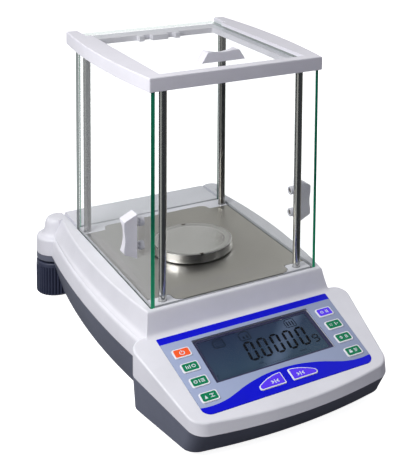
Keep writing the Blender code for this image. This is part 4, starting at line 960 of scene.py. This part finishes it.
# ================================================================ handles
BAR = [(0.3, 113.6), (0.3, 154.2), (11.3, 149.2), (12.0, 148.5), (12.3, 147.4), (12.3, 120.6), (12.0, 119.5),
       (11.3, 118.8)]
SCOOP_R, SCOOP_DEPTH, SCOOP_LEAN = 38.0, 1.5, math.radians(10.5)
LIE = Matrix(((1, 0, 0, 0), (0, 0, 1, 0), (0, 1, 0, 0), (0, 0, 0, 1)))
for s, side in ((-1, "left"), (1, "right")):
    bm = prism_bm([(s * (DOOR_X + 1.5 + t), z) for t, z in BAR], -6.5, 6.5)
    bmesh.ops.transform(bm, matrix=Matrix.Translation((0, PEG_Y, 0)) @ LIE, verts=bm.verts)
    ob = obj_from(side + "_door_grip", bm, FRAME_W, smooth=0)
    for z in PEG_Z:
        cut(ob, tube_bm(3.3, 0, 5.0, 32, matrix=Matrix.Translation((s * (DOOR_X + 1.5 - 1.5), PEG_Y, z))
                        @ Matrix.Rotation(s * math.pi / 2, 4, 'Y')))
    # finger scoop, deeper towards the rear
    cut(ob, tube_bm(SCOOP_R, -14, 14, 360, matrix=Matrix.Translation(
        (s * (DOOR_X + 1.5 + 12.3 - SCOOP_DEPTH + SCOOP_R), PEG_Y, 133.0))
        @ Matrix.Rotation(s * SCOOP_LEAN, 4, 'Z') @ Matrix.Rotation(math.pi / 2, 4, 'X')))
    bake(ob)
    soften(ob, 0.7, 3, 24.0)
    done(ob, side + "_door_handle", 40.0)
    for z, level in zip(PEG_Z, ("lower", "upper")):
        prof = [(2.35, 4.5), (2.7, 4.7), (2.9, 4.5), (2.9, -1.8), (3.9, -1.8), (4.1, -2.0), (4.1, -6.0), (3.9, -6.3),
                (3.6, -6.4), (2.9, -6.4), (2.6, -6.2), (2.35, -5.8)]
        b = obj_from("%s_grip_bush_%s" % (side, level), turn_bm(prof, 40), FRAME_W,
                     at(s * DOOR_X, PEG_Y, z) @ Matrix.Rotation(s * math.pi / 2, 4, 'Y'))
        done(b, "%s_handle_bush_%s" % (side, level), 40.0)
        # grey plug set in the bush bore: painted shade inside the hollow
        core = obj_from("%s_grip_bush_core_%s" % (side, level), tube_bm(2.38, -5.4, -3.2, 28), SHADE,
                        at(s * DOOR_X, PEG_Y, z) @ Matrix.Rotation(s * math.pi / 2, 4, 'Y'), 0)
        detail(core, "%s_handle_bush_%s" % (side, level), "frame_plastic")

TOP_GRIP = [(-22.0, 3.6), (22.0, 3.6), (16.6, 12.3), (16.0, 12.9), (15.2, 13.25), (14.2, 13.3), (-14.2, 13.3),
            (-15.2, 13.25), (-16.0, 12.9), (-16.6, 12.3)]
bm = prism_bm(TOP_GRIP, -6.5, 6.5)
bmesh.ops.transform(bm, matrix=Matrix.Translation((3.0, -55.3, LEDGE_Z)) @ LIE, verts=bm.verts)
ob = obj_from("top_door_grip", bm, FRAME_W, smooth=0)
cut(ob, tube_bm(SCOOP_R, -14, 14, 360, matrix=Matrix.Translation((3.0, -55.3, LEDGE_Z + 13.3 - SCOOP_DEPTH + SCOOP_R))
                @ Matrix.Rotation(math.pi / 2 - SCOOP_LEAN, 4, 'X')))
bake(ob)
soften(ob, 0.7, 3, 24.0)
done(ob, "top_door_handle", 40.0)

# ==================================================================== pan
NICK = math.radians(-100.0)
bm = turn_bm([(0, 88.7), (12, 88.7), (24, 88.7), (32.0, 88.7), (33.4, 88.75), (34.6, 89.0), (36.0, 89.4), (37.4, 89.65),
              (38.5, 89.6), (38.95, 89.45), (39.15, 89.15), (39.2, 88.7), (39.3, 87.0), (39.55, 84.0), (39.85, 81.6), (39.7, 81.25),
              (39.3, 81.2), (39.05, 81.5), (38.2, 87.6), (37.2, 88.3), (35.6, 88.1), (33.8, 87.75), (31.0, 87.7),
              (8.0, 87.7), (8.0, 82.0), (4.8, 82.0), (3.3, 86.3), (0, 86.3)], 120)
ob = obj_from("weighing_pan_dish", bm, [PAN_TOP, PAN_SKIRT], AXIS)
for turn in (NICK, NICK + math.pi):       # two small notches, opposite each other, in the rim
    cut(ob, box_bm((36.6, -1.15, 88.3), (41.0, 1.15, 92.0)), matrix=AXIS @ Matrix.Rotation(turn, 4, 'Z'))
bake(ob)
for f in ob.data.polygons:
    c = f.center
    f.material_index = 1 if math.hypot(c.x, c.y) > 0.0390 and c.z < 0.0893 else 0
done(ob, "weighing_pan", 40.0, weighted=False)
bm = bmesh.new()
for turn in (NICK, NICK + math.pi):       # painted shadow: dark brown patches laid in the two rim notches
    b = box_bm((36.2, -1.9, 89.0), (37.6, 1.9, 89.78))
    bmesh.ops.rotate(b, verts=b.verts, cent=(0, 0, 0), matrix=Matrix.Rotation(turn, 3, 'Z'))
    tmp = bpy.data.meshes.new("nick")
    b.to_mesh(tmp)
    bm.from_mesh(tmp)
detail(obj_from("weighing_pan_nick_shadows", bm, NICK_SHADOW, smooth=0), "weighing_pan", "brushed_steel")
ob = obj_from("pan_support_cone", turn_bm([(0, 86.0), (2.6, 86.0), (3.0, 85.7), (4.3, 82.4), (4.3, 81.7), (8.2, 81.7),
                                           (8.5, 81.4), (8.5, 80.6), (8.2, 80.3), (5.0, 79.6), (5.0, 62.9), (4.7, 62.6),
                                           (0, 62.6)], 48), CAST)
done(ob, "pan_support")

# ============================================================ keypad stack
LCD_W = -1.95                             # face of the liquid crystal cell, just under the window
ob = obj_from("keypad_film", prism_bm(overlay_outline(), -0.8, 0.25), FILM, PANEL, smooth=0)
cut(ob, prism_bm(rect(-57.6, -18.0, 57.6, 34.6, 0.6, 3), -5, 5), matrix=PANEL)
for _, u, v in KEYS:
    cut(ob, prism_bm(rect(-8.15, -5.65, 8.15, 5.65, 2.15, 4), -5, 5), matrix=on_panel(u, v))
for s in (-1, 1):
    cut(ob, prism_bm(wing(s, 0.15), -5, 5), matrix=PANEL)
bake(ob)
soften(ob, 0.1, 1, 50.0)
done(ob, "panel_overlay", 30.0)

ob = obj_from("display_window_sheet", prism_bm(rect(-57.3, -17.7, 57.3, 34.3, 0.4, 3), -1.4, 0.05), WINDOW, PANEL, smooth=0)
soften(ob, 0.1, 1, 50.0)
done(ob, "display_window", 30.0)
ob = obj_from("display_bezel_frame", prism_bm(rect(-57.4, -17.8, 57.4, 34.4), -4.4, -1.7), BEZEL, PANEL, smooth=0)
cut(ob, prism_bm(rect(-54.0, -14.6, 54.0, 31.7, 0.5, 3), -9, 5), matrix=PANEL)
bake(ob)
soften(ob, 0.25, 2, 50.0)
done(ob, "display_bezel", 35.0)
ob = obj_from("lcd_cell_block", prism_bm(rect(-57.4, -17.8, 57.4, 34.4), -9.2, -4.7), LCD, PANEL, smooth=0)
cut(ob, prism_bm(rect(-53.8, -14.4, 53.8, 31.5, 0.3, 3), -6.0, LCD_W), 'UNION', PANEL)
bake(ob)
soften(ob, 0.2, 2, 50.0)
done(ob, "lcd_module", 35.0)

# seven-segment readout and generic annunciators
SLANT = 0.06


def seg_poly(a, b, t):
    """Hexagonal segment between points a and b, t thick."""
    a, b = Vector(a), Vector(b)
    d = (b - a).normalized()
    n = Vector((-d.y, d.x)) * t / 2
    g = d * t * 0.55
    a, b = a + d * 0.26, b - d * 0.26
    return [a, a + g + n, b - g + n, b, b - g - n, a + g - n]


def slanted(p, origin):
    return (p[0] + (p[1] - origin[1]) * SLANT, p[1])


def digit_bm(bm, x, y, w, h, t, segs):
    c = {"a": ((0, h), (w, h)), "b": ((w, h), (w, h / 2)), "c": ((w, h / 2), (w, 0)), "d": ((0, 0), (w, 0)),
         "e": ((0, h / 2), (0, 0)), "f": ((0, h), (0, h / 2)), "g": ((0, h / 2), (w, h / 2))}
    for k in segs:
        a, b = c[k]
        poly = [slanted((x + p.x, y + p.y), (x, y)) for p in seg_poly(a, b, t)]
        prism_bm(poly, LCD_W, LCD_W + 0.08, bm)


bm = bmesh.new()
for i in range(5):
    digit_bm(bm, -17.0 + 12.75 * i, -3.9, 6.7, 20.9, 2.3, "abcdef")
digit_bm(bm, 45.4, -4.6, 4.7, 8.4, 1.3, "abcdfg")
prism_bm([(-8.9, -4.6), (-7.3, -4.6), (-7.2, -3.0), (-8.8, -3.0)], LCD_W, LCD_W + 0.08, bm)
detail(obj_from("lcd_digits", bm, DIGIT, PANEL, 0), "lcd_module", "lcd_panel")

bm = bmesh.new()
for i in range(41):                       # load bar scale
    x = -52.5 + 2.2 * i
    h = 2.4 if i % 10 == 0 else (1.7 if i % 5 == 0 else 1.0)
    prism_bm([(x, -13.2), (x + 0.55, -13.2), (x + 0.55, -13.2 + h), (x, -13.2 + h)], LCD_W, LCD_W + 0.06, bm)


def frame_icon(x, y, s):
    """Small rounded house-like frame drawn with bars."""
    for a, b in (((-s, -s), (-s, s * 0.5)), ((-s, s * 0.5), (-s * 0.4, s)), ((-s * 0.4, s), (s, s)), ((s, s), (s, -s)),
                 ((s, -s), (-s, -s))):
        prism_bm([tuple(p) for p in seg_poly((x + a[0], y + a[1]), (x + b[0], y + b[1]), 0.75)], LCD_W, LCD_W + 0.06, bm)


marks = bm
bm = bmesh.new()
for cx in (-36.0, -11.0, 35.0):
    frame_icon(cx, 25.2, 5.0)
for k in range(3):                        # waves, bars and drops
    for j in range(4):
        xa, xb = -39.4 + 1.9 * j, -37.7 + 1.9 * j
        za, zb = (0.7 if j % 2 else -0.7), (-0.7 if j % 2 else 0.7)
        prism_bm([tuple(p) for p in seg_poly((xa, 22.1 + 3.1 * k + za), (xb, 22.1 + 3.1 * k + zb), 0.75)], LCD_W, LCD_W + 0.06, bm)
    prism_bm([(31.8 + 2.6 * k, 21.8), (32.9 + 2.6 * k, 21.8), (32.9 + 2.6 * k, 27.2), (31.8 + 2.6 * k, 27.2)], LCD_W, LCD_W + 0.06, bm)
for dx, h in ((-13.0, 3.0), (-9.6, 4.2)):
    prism_bm([(dx, 22.2), (dx + 1.8, 22.2), (dx + 1.3, 22.2 + h), (dx + 0.5, 22.2 + h)], LCD_W, LCD_W + 0.06, bm)
detail(obj_from("lcd_symbols", bm, SYMBOL, PANEL, 0), "lcd_module", "lcd_panel")
bm = marks
prism_bm([(-53.4, -9.8), (-50.9, -9.8), (-52.1, -7.4)], LCD_W, LCD_W + 0.06, bm)
for x0, n in ((-14.0, 3), (27.0, 4)):     # small generic scale marks
    for k in range(n):
        prism_bm([(x0 + 1.7 * k, -10.4), (x0 + 1.7 * k + 0.9, -10.4), (x0 + 1.7 * k + 0.9, -8.6), (x0 + 1.7 * k, -8.6)],
                 LCD_W, LCD_W + 0.06, bm)
detail(obj_from("lcd_annunciators", bm, FAINT, PANEL, 0), "lcd_module", "lcd_panel")


# ==================================================================== keys
def ring_pts(cx, cy, r0, r1, a0, a1, n=20):
    a = [math.radians(a0 + (a1 - a0) * i / n) for i in range(n + 1)]
    return [(cx + r1 * math.cos(t), cy + r1 * math.sin(t)) for t in a] + \
           [(cx + r0 * math.cos(t), cy + r0 * math.sin(t)) for t in reversed(a)]


def bar(x0, y0, x1, y1):
    return [(x0, y0), (x1, y0), (x1, y1), (x0, y1)]


MARK_SHAPES = {
    "key_left_1": [ring_pts(0, -0.2, 1.5, 2.15, 125, 415, 24), bar(-0.33, 0.2, 0.33, 2.5)],
    "key_left_2": [bar(-3.6, -1.7, -3.0, 1.7), bar(-2.2, -1.7, -1.6, 0.9), bar(-0.8, -1.7, -0.2, 1.7),
                   ring_pts(2.4, 0, 1.0, 1.6, 0, 350)],
    "key_left_3": [ring_pts(-3.0, 0, 0.9, 1.5, 0, 350), bar(-0.4, -1.6, 0.2, 1.6), bar(1.2, 0.9, 3.9, 1.5),
                   bar(1.2, -0.3, 3.9, 0.3), bar(1.2, -1.5, 3.9, -0.9)],
    "key_left_4": [[(-3.9, -1.6), (-1.5, -1.6), (-2.7, 1.6)], bar(0.4, -1.6, 3.8, -1.0), bar(0.4, 1.0, 3.8, 1.6),
                   bar(1.8, -0.8, 2.4, 0.8)],
    "key_right_1": [ring_pts(-2.4, 0, 0.8, 1.4, 0, 350), bar(1.0, -1.6, 1.6, 1.6), bar(2.3, -1.6, 2.9, 1.6)],
    "key_right_2": [bar(-3.8, 0.4, -3.1, 1.1), bar(-2.5, 0.4, -1.8, 1.1), bar(-3.8, -1.1, -3.1, -0.4),
                    bar(-2.5, -1.1, -1.8, -0.4), bar(1.0, -1.6, 1.6, 1.6), bar(2.2, -0.3, 3.8, 0.3)],
    "key_right_3": [[(-3.6, 0.3), (-2.2, 1.7), (-0.8, 0.3)], [(-3.6, -0.3), (-0.8, -0.3), (-2.2, -1.7)],
                    bar(1.4, -1.6, 2.0, 1.6), bar(2.7, -1.6, 3.3, 1.6)],
    "key_right_4": [bar(-3.8, -1.5, -1.2, 0.3), bar(-3.3, 0.6, -1.7, 1.7), bar(0.8, 0.9, 3.6, 1.5),
                    bar(0.8, -0.3, 3.6, 0.3), bar(0.8, -1.5, 2.6, -0.9)],
}
CAP = {"key_left_1": (ORANGE, "key_orange"), "key_right_1": (VIOLET, "key_violet")}
for name, u, v in KEYS:
    mat, slot_name = CAP.get(name, (GREEN, "key_green"))
    ob = obj_from(name + "_cap", prism_bm(rect(-8.0, -5.5, 8.0, 5.5, 2.0, 6), KEY_BOTTOM, KEY_TOP), KEY_WHITE, on_panel(u, v), 0)
    soften(ob, 0.55, 3, 50.0)
    done(ob, name, 40.0)
    inlay = obj_from(name + "_inlay", prism_bm(rect(-6.75, -4.3, 6.75, 4.3, 1.4, 6), KEY_TOP - 0.3, KEY_TOP + 0.10), mat,
                     on_panel(u, v), 0)
    soften(inlay, 0.1, 2, 50.0)
    detail(bake(inlay), name, slot_name)
    bm = bmesh.new()
    for shape in MARK_SHAPES[name]:
        prism_bm([(1.15 * x, 1.15 * y) for x, y in shape], KEY_TOP + 0.06, KEY_TOP + 0.14, bm)
    detail(obj_from(name + "_mark", bm, MARKS, on_panel(u, v), 0), name, slot_name)
for s, side in ((-1, "left"), (1, "right")):
    node = "tare_key_" + side
    ob = obj_from(node + "_cap", prism_bm(wing(s), KEY_BOTTOM, KEY_TOP), KEY_WHITE, PANEL, 0)
    soften(ob, 0.5, 3, 50.0)
    done(ob, node, 40.0)
    inlay = obj_from(node + "_inlay", prism_bm(wing(s, -1.05), KEY_TOP - 0.3, KEY_TOP + 0.10), VIOLET, PANEL, 0)
    soften(inlay, 0.1, 2, 50.0)
    detail(bake(inlay), node, "key_violet")
    bm = bmesh.new()
    cx, cy = s * 12.2, -35.2
    for shape in ([(-2.6, -1.7), (-0.9, 0.0), (-2.6, 1.7), (-3.3, 1.1), (-2.2, 0.0), (-3.3, -1.1)],
                  [(2.6, -1.7), (3.3, -1.1), (2.2, 0.0), (3.3, 1.1), (2.6, 1.7), (0.9, 0.0)],
                  bar(-0.35, -2.0, 0.35, 2.0)):
        prism_bm([(cx + 1.1 * x, cy + 1.1 * y) for x, y in shape], KEY_TOP + 0.06, KEY_TOP + 0.14, bm)
    detail(obj_from(node + "_mark", bm, MARKS, PANEL, 0), node, "key_violet")

# =================================================================== feet
def knob_bm(flutes=41, per=8):
    n = flutes * per

    def row(z, r, depth):
        out = []
        for i in range(n):
            a = math.tau * i / n
            c = 0.5 + 0.5 * math.cos(flutes * a)
            out.append(((r - depth * (1 - c) ** 1.6) * math.cos(a), (r - depth * (1 - c) ** 1.6) * math.sin(a), z))
        return out
    rows = [row(0.6, 20.6, 0.0), row(0.8, 21.2, 0.2), row(1.4, 21.8, 0.7), row(2.6, 22.0, 1.5), row(29.4, 21.95, 1.5),
            row(30.4, 21.9, 0.9), row(31.0, 21.85, 0.3), row(31.3, 21.8, 0.0), row(32.0, 21.75, 0.0),
            row(33.9, 21.7, 0.0), row(34.7, 21.4, 0.0), row(35.15, 20.9, 0.0), row(35.3, 20.2, 0.0)]
    return loft_bm(rows)


for s, side in ((-1, "left"), (1, "right")):
    ob = obj_from("levelling_knob_%s_fluted" % side, knob_bm(), NAVY, at(s * FOOT_X, FOOT_Y), 0)
    cut(ob, tube_bm(4.9, 8.2, 60, 32), matrix=at(s * FOOT_X, FOOT_Y))
    cut(ob, tube_bm(3.4, -2, 7.2, 24), matrix=at(s * FOOT_X, FOOT_Y))
    cut(ob, tube_bm(15.6, -2, 3.1, 56), matrix=at(s * FOOT_X, FOOT_Y))
    done(ob, "levelling_knob_" + side, 40.0)
    prof = [(0, 56.0), (3.6, 56.0)]
    z = 55.2
    while z > 9.2:                        # 1.5 mm pitch thread crests
        prof += [(4.6, z), (4.6, z - 0.25), (3.95, z - 0.75), (3.95, z - 0.95)]
        z -= 1.5
    prof += [(4.5, 8.7), (4.5, 8.5), (0, 8.5)]
    done(obj_from("levelling_stud_%s_thread" % side, turn_bm(prof, 32), BRIGHT, at(s * FOOT_X, FOOT_Y)),
         "levelling_stud_" + side, 30.0)
    done(obj_from("foot_pad_%s_sole" % side, turn_bm([(0, 6.8), (2.7, 6.8), (3.0, 6.5), (3.0, 2.7), (13.8, 2.7), (14.6, 2.4),
                                                      (15.0, 1.8), (15.0, 0.5), (14.6, 0.05), (14.0, 0.0), (10.0, 0.0),
                                                      (9.4, 0.6), (6.6, 0.6), (6.0, 0.0), (0, 0.0)], 56), RUBBER,
                  at(s * FOOT_X, FOOT_Y)), "foot_pad_" + side, 40.0)
    done(obj_from("front_foot_%s_bumper" % side, turn_bm([(0, 9.4), (2.2, 9.4), (2.7, 8.9), (2.7, 5.7), (7.4, 5.7), (8.0, 5.2),
                                                          (8.0, 1.4), (7.7, 0.5), (7.0, 0.0), (0, 0.0)], 48), RUBBER,
                  at(s * FRONT_FOOT[0], FRONT_FOOT[1])), "front_foot_" + side, 40.0)

# ======================================================== rear connectors
ob = obj_from("power_inlet_socket", box_bm((-46, 138, 14), (-18, 158.2, 34)), DARK, smooth=0)
cut(ob, box_bm((-50, 158.15, 12), (-14, 160.6, 36)), 'UNION')
bm = prism_bm([(-44, 16), (-20, 16), (-20, 28.5), (-23.5, 32), (-40.5, 32), (-44, 28.5)], 143, 165)
bmesh.ops.transform(bm, matrix=LIE, verts=bm.verts)
cut(ob, bm)
bake(ob)
soften(ob, 0.5, 2, 50.0)
done(ob, "power_inlet", 35.0)
bm = bmesh.new()
for x, z in ((-39, 22.2), (-25, 22.2), (-32, 26.4)):
    box_bm((x - 1.0, 143.2, z - 2.4), (x + 1.0, 156.5, z + 2.4), bm)
ob = obj_from("power_inlet_blades", bm, BRIGHT, smooth=0)
soften(ob, 0.3, 2, 50.0)
detail(bake(ob), "power_inlet", "zinc")

ob = obj_from("serial_port_shell", box_bm((17, 146, 17), (41, 158.2, 27)), BRIGHT, smooth=0)
cut(ob, box_bm((12, 158.15, 15.5), (46, 159.2, 28.5)), 'UNION')


def dshell(x0, x1, z0, z1, y0, y1, r):
    bm = prism_bm(rounded([(x0 + 1.4, z0), (x1 - 1.4, z0), (x1, z1), (x0, z1)], [r] * 4, 5), y0, y1)
    bmesh.ops.transform(bm, matrix=LIE, verts=bm.verts)
    return bm


cut(ob, dshell(18.5, 39.5, 18, 26, 158, 164.5, 1.6), 'UNION')
cut(ob, dshell(19.2, 38.8, 18.7, 25.3, 152, 170, 1.2))
bake(ob)
soften(ob, 0.2, 2, 50.0)
done(ob, "serial_port", 35.0)
bm = bmesh.new()
dsh = dshell(19.4, 38.6, 18.9, 25.1, 152.2, 157.6, 1.1)
ob = obj_from("serial_port_insert", dsh, DARK, smooth=0)
detail(ob, "serial_port", "black_plastic")
bm = bmesh.new()
for row_z, xs in ((23.4, range(5)), (20.6, range(4))):
    for k in xs:
        x = 29.0 + (k - (len(xs) - 1) / 2) * 2.77
        tube_bm(0.5, 157.4, 163.4, 16, at=(0, 0), bm=bm,
                matrix=Matrix.Translation((x, 0, row_z)) @ Matrix.Rotation(-math.pi / 2, 4, 'X'))
detail(obj_from("serial_port_pins", bm, BRIGHT), "serial_port", "zinc")
bm = bmesh.new()
for x in (15.0, 43.0):
    tube_bm(2.2, 159.3, 161.8, 6, bm=bm, matrix=Matrix.Translation((x, 0, 22.0)) @ Matrix.Rotation(-math.pi / 2, 4, 'X'))
detail(obj_from("serial_port_jackposts", bm, BRIGHT, smooth=0), "serial_port", "zinc")

# ================================================================= screws
for name, (x, y) in SCREWS.items():
    tip = (block_part_height(y) if y < 0 else part_height(y)) + 11.5
    ob = obj_from(name + "_head", turn_bm([(0, tip), (0.8, tip - 0.6), (1.4, tip - 1.6), (1.4, 15.7), (3.2, 15.7), (3.4, 15.4),
                                           (3.4, 14.2), (3.1, 13.4), (2.4, 12.9), (0, 12.8)], 32), BRIGHT, at(x, y), 0)
    for a in (0, math.pi / 2):
        b = box_bm((-1.7, -0.35, 10.0), (1.7, 0.35, 14.2))
        bmesh.ops.rotate(b, verts=b.verts, cent=(0, 0, 0), matrix=Matrix.Rotation(a + 0.4, 3, 'Z'))
        cut(ob, b, matrix=at(x, y))
    done(ob, name, 35.0)

# ============================================ inner pieces keep their solids
for node, mat in (("cell_base", CAST), ("force_beam", CAST), ("magnet_pot", IRON), ("coil_former", COPPER),
                  ("transformer", LAMS), ("main_board", PCB), ("keypad_board", PCB)):
    NODES[node].data.materials.clear()
    NODES[node].data.materials.append(mat)

# ================================================================== stage
def seen_by_camera(t, seen, unseen):
    """The stage looks white to the camera and sheds less light than it shows."""
    path = put(t, "ShaderNodeLightPath")
    mix = put(t, "ShaderNodeMixShader")
    feed(t, mix, 0, path.outputs["Is Camera Ray"])
    t.links.new(unseen, mix.inputs[1])
    t.links.new(seen, mix.inputs[2])
    return mix.outputs[0]


fm, ft, fb = tree("pale_floor")
fv = coords(ft)
feed(ft, fb, "Base Color", ramp(ft, noise(ft, fv, 3.0, 3.0), [(0.3, (0.91, 0.91, 0.915)), (0.7, (0.93, 0.93, 0.935))]))
fb.inputs["Roughness"].default_value = 0.7
fb.inputs["Emission Color"].default_value = (1.0, 1.0, 1.0, 1.0)
fb.inputs["Emission Strength"].default_value = 0.9
dim = put(ft, "ShaderNodeBsdfDiffuse")
dim.inputs[0].default_value = (0.21, 0.21, 0.235, 1.0)
# in polished steel the table mirrors as a dim plane with a bright patch to the left and a soft one to the right
geo = put(ft, "ShaderNodeNewGeometry")


def patch(direction, lo, hi, rgb):
    d = put(ft, "ShaderNodeVectorMath", operation='DOT_PRODUCT')
    feed(ft, d, 0, geo.outputs["Incoming"])
    d.inputs[1].default_value = -Vector(direction).normalized()
    m = put(ft, "ShaderNodeMapRange", interpolation_type='SMOOTHSTEP')
    feed(ft, m, "Value", d.outputs["Value"])
    m.inputs["From Min"].default_value, m.inputs["From Max"].default_value = lo, hi
    return mix_color(ft, m.outputs["Result"], (0.0, 0.0, 0.0), rgb)


total = put(ft, "ShaderNodeVectorMath", operation='ADD')
ft.links.new(patch((-0.89, -0.26, -0.34), 0.86, 0.95, (0.50, 0.50, 0.48)), total.inputs[0])
ft.links.new(patch((0.88, 0.32, -0.34), 0.80, 0.96, (0.17, 0.15, 0.13)), total.inputs[1])
both = put(ft, "ShaderNodeVectorMath", operation='ADD')
ft.links.new(total.outputs[0], both.inputs[0])
ft.links.new(patch((-0.32, 0.88, -0.33), 0.95, 0.985, (0.70, 0.72, 0.74)), both.inputs[1])
base = put(ft, "ShaderNodeVectorMath", operation='ADD')
ft.links.new(both.outputs[0], base.inputs[0])
base.inputs[1].default_value = (0.048, 0.05, 0.056)
mirrored = put(ft, "ShaderNodeEmission")
ft.links.new(base.outputs[0], mirrored.inputs["Color"])
floor_ray = put(ft, "ShaderNodeLightPath")
gloss_mix = put(ft, "ShaderNodeMixShader")
feed(ft, gloss_mix, 0, floor_ray.outputs["Is Glossy Ray"])
ft.links.new(dim.outputs[0], gloss_mix.inputs[1])
ft.links.new(mirrored.outputs[0], gloss_mix.inputs[2])
ft.links.new(seen_by_camera(ft, fb.outputs[0], gloss_mix.outputs[0]), ft.nodes["Material Output"].inputs["Surface"])
floor_bm = bmesh.new()
bmesh.ops.create_grid(floor_bm, x_segments=2, y_segments=2, size=12000.0)
floor = obj_from("floor", floor_bm, fm, Matrix.Identity(4), 0)
floor.location.z = -0.0002

world = bpy.data.worlds.new("studio")
bpy.context.scene.world = world
world.use_nodes = True
wt = world.node_tree
bg = wt.nodes["Background"]
wc = put(wt, "ShaderNodeTexCoord")


def lobe(direction, lo, hi, a, b):
    """Soft patch of sky around a direction: a to b between the cosines lo and hi."""
    dot = put(wt, "ShaderNodeVectorMath", operation='DOT_PRODUCT')
    feed(wt, dot, 0, wc.outputs["Generated"])
    dot.inputs[1].default_value = Vector(direction).normalized()
    soft = put(wt, "ShaderNodeMapRange", interpolation_type='SMOOTHSTEP')
    feed(wt, soft, "Value", dot.outputs["Value"])
    for key, val in zip(("From Min", "From Max", "To Min", "To Max"), (lo, hi, a, b)):
        soft.inputs[key].default_value = val
    return soft.outputs["Result"]


def tinted(k, rgb):
    return mix_color(wt, k, (0.0, 0.0, 0.0), rgb)


def summed(a, b):
    n = put(wt, "ShaderNodeVectorMath", operation='ADD')
    wt.links.new(a, n.inputs[0])
    wt.links.new(b, n.inputs[1])
    return n.outputs[0]


feed(wt, bg, "Color", mix_color(wt, lobe((0.1, 0.25, 0.95), -0.35, 1.0, 0.0, 1.0), (0.115, 0.115, 0.145), (0.50, 0.50, 0.52)))
bg.inputs["Strength"].default_value = 1.0
# what polished pieces mirror: a dim room with a soft window to the left and one overhead
mirror = put(wt, "ShaderNodeBackground")
room = summed(tinted(lobe((-0.95, 0.10, 0.25), 0.55, 0.95, 0.0, 1.0), (1.0, 0.96, 0.88)),
              tinted(lobe((0.1, 0.62, 0.78), -0.1, 0.9, 0.05, 0.56), (1.0, 0.99, 0.97)))
wt.links.new(room, mirror.inputs["Color"])
ray = put(wt, "ShaderNodeLightPath")
glossy = put(wt, "ShaderNodeMixShader")
feed(wt, glossy, 0, ray.outputs["Is Glossy Ray"])
wt.links.new(bg.outputs[0], glossy.inputs[1])
wt.links.new(mirror.outputs[0], glossy.inputs[2])
plain = put(wt, "ShaderNodeBackground")
plain.inputs["Color"].default_value = (1.0, 1.0, 1.0, 1.0)
wt.links.new(seen_by_camera(wt, plain.outputs[0], glossy.outputs[0]), wt.nodes["World Output"].inputs["Surface"])


def area(name, loc, target, size, power, rgb=(1, 1, 1), size_y=None):
    l = bpy.data.lights.new(name, 'AREA')
    l.shape = 'RECTANGLE'
    l.size, l.size_y = size, size_y or size
    l.energy = power
    l.color = rgb
    o = bpy.data.objects.new(name, l)
    bpy.context.scene.collection.objects.link(o)
    o.location = loc
    o.rotation_euler = (Vector(target) - Vector(loc)).to_track_quat('-Z', 'Y').to_euler()
    return o


area("key_left", (-0.60, -0.17, 0.60), (0, -0.03, 0.1), 0.45, 5.1, (1.0, 0.995, 0.985))
area("rear_fill", (1.2, 0.8, 0.7), (0, 0.0, 0.1), 0.9, 4.0)

# ================================================================= camera
YAW, PITCH, ROLL = 0.5702015538825139, -0.09862819396868397, 0.0192985601783091
EYE = Vector((-400.7532469, -886.4382501 + PAN_AXIS_Y, 537.3101095 - 35.0)) * MM
FOCAL, CX, CY = 1004.26795, 340.344644, -76.690307
W, H = 411, 467
fwd = Vector((math.sin(YAW) * math.cos(PITCH), math.cos(YAW) * math.cos(PITCH), math.sin(PITCH)))
right = Vector((math.cos(YAW), -math.sin(YAW), 0.0))
up = right.cross(fwd)
r2 = math.cos(ROLL) * right + math.sin(ROLL) * up
u2 = -math.sin(ROLL) * right + math.cos(ROLL) * up
cam = bpy.data.cameras.new("camera")
camera = bpy.data.objects.new("camera", cam)
bpy.context.scene.collection.objects.link(camera)
camera.matrix_world = Matrix(((r2.x, u2.x, -fwd.x, EYE.x), (r2.y, u2.y, -fwd.y, EYE.y), (r2.z, u2.z, -fwd.z, EYE.z),
                              (0, 0, 0, 1)))
cam.sensor_width = 36.0
cam.sensor_fit = 'AUTO'
cam.lens = FOCAL / max(W, H) * 36.0
cam.clip_start, cam.clip_end = 0.02, 100.0
SHIFT_X, SHIFT_Y = (W / 2 - CX) / max(W, H), (CY - H / 2) / max(W, H)
# the lens shift belongs to the main viewpoint only
for prop, value in (("shift_x", SHIFT_X), ("shift_y", SHIFT_Y)):
    d = cam.driver_add(prop).driver
    d.type = 'SCRIPTED'
    v = d.variables.new()
    v.name = "x"
    v.type = 'TRANSFORMS'
    v.targets[0].id = camera
    v.targets[0].transform_type = 'LOC_X'
    v.targets[0].transform_space = 'WORLD_SPACE'
    d.expression = "%.6f if abs(x - %.6f) < 0.0005 else 0.0" % (value, EYE.x)
bpy.context.scene.camera = camera

bpy.context.scene.view_settings.view_transform = 'Standard'
bpy.context.scene.view_settings.look = 'None'
bpy.context.scene.view_settings.exposure = 0.0
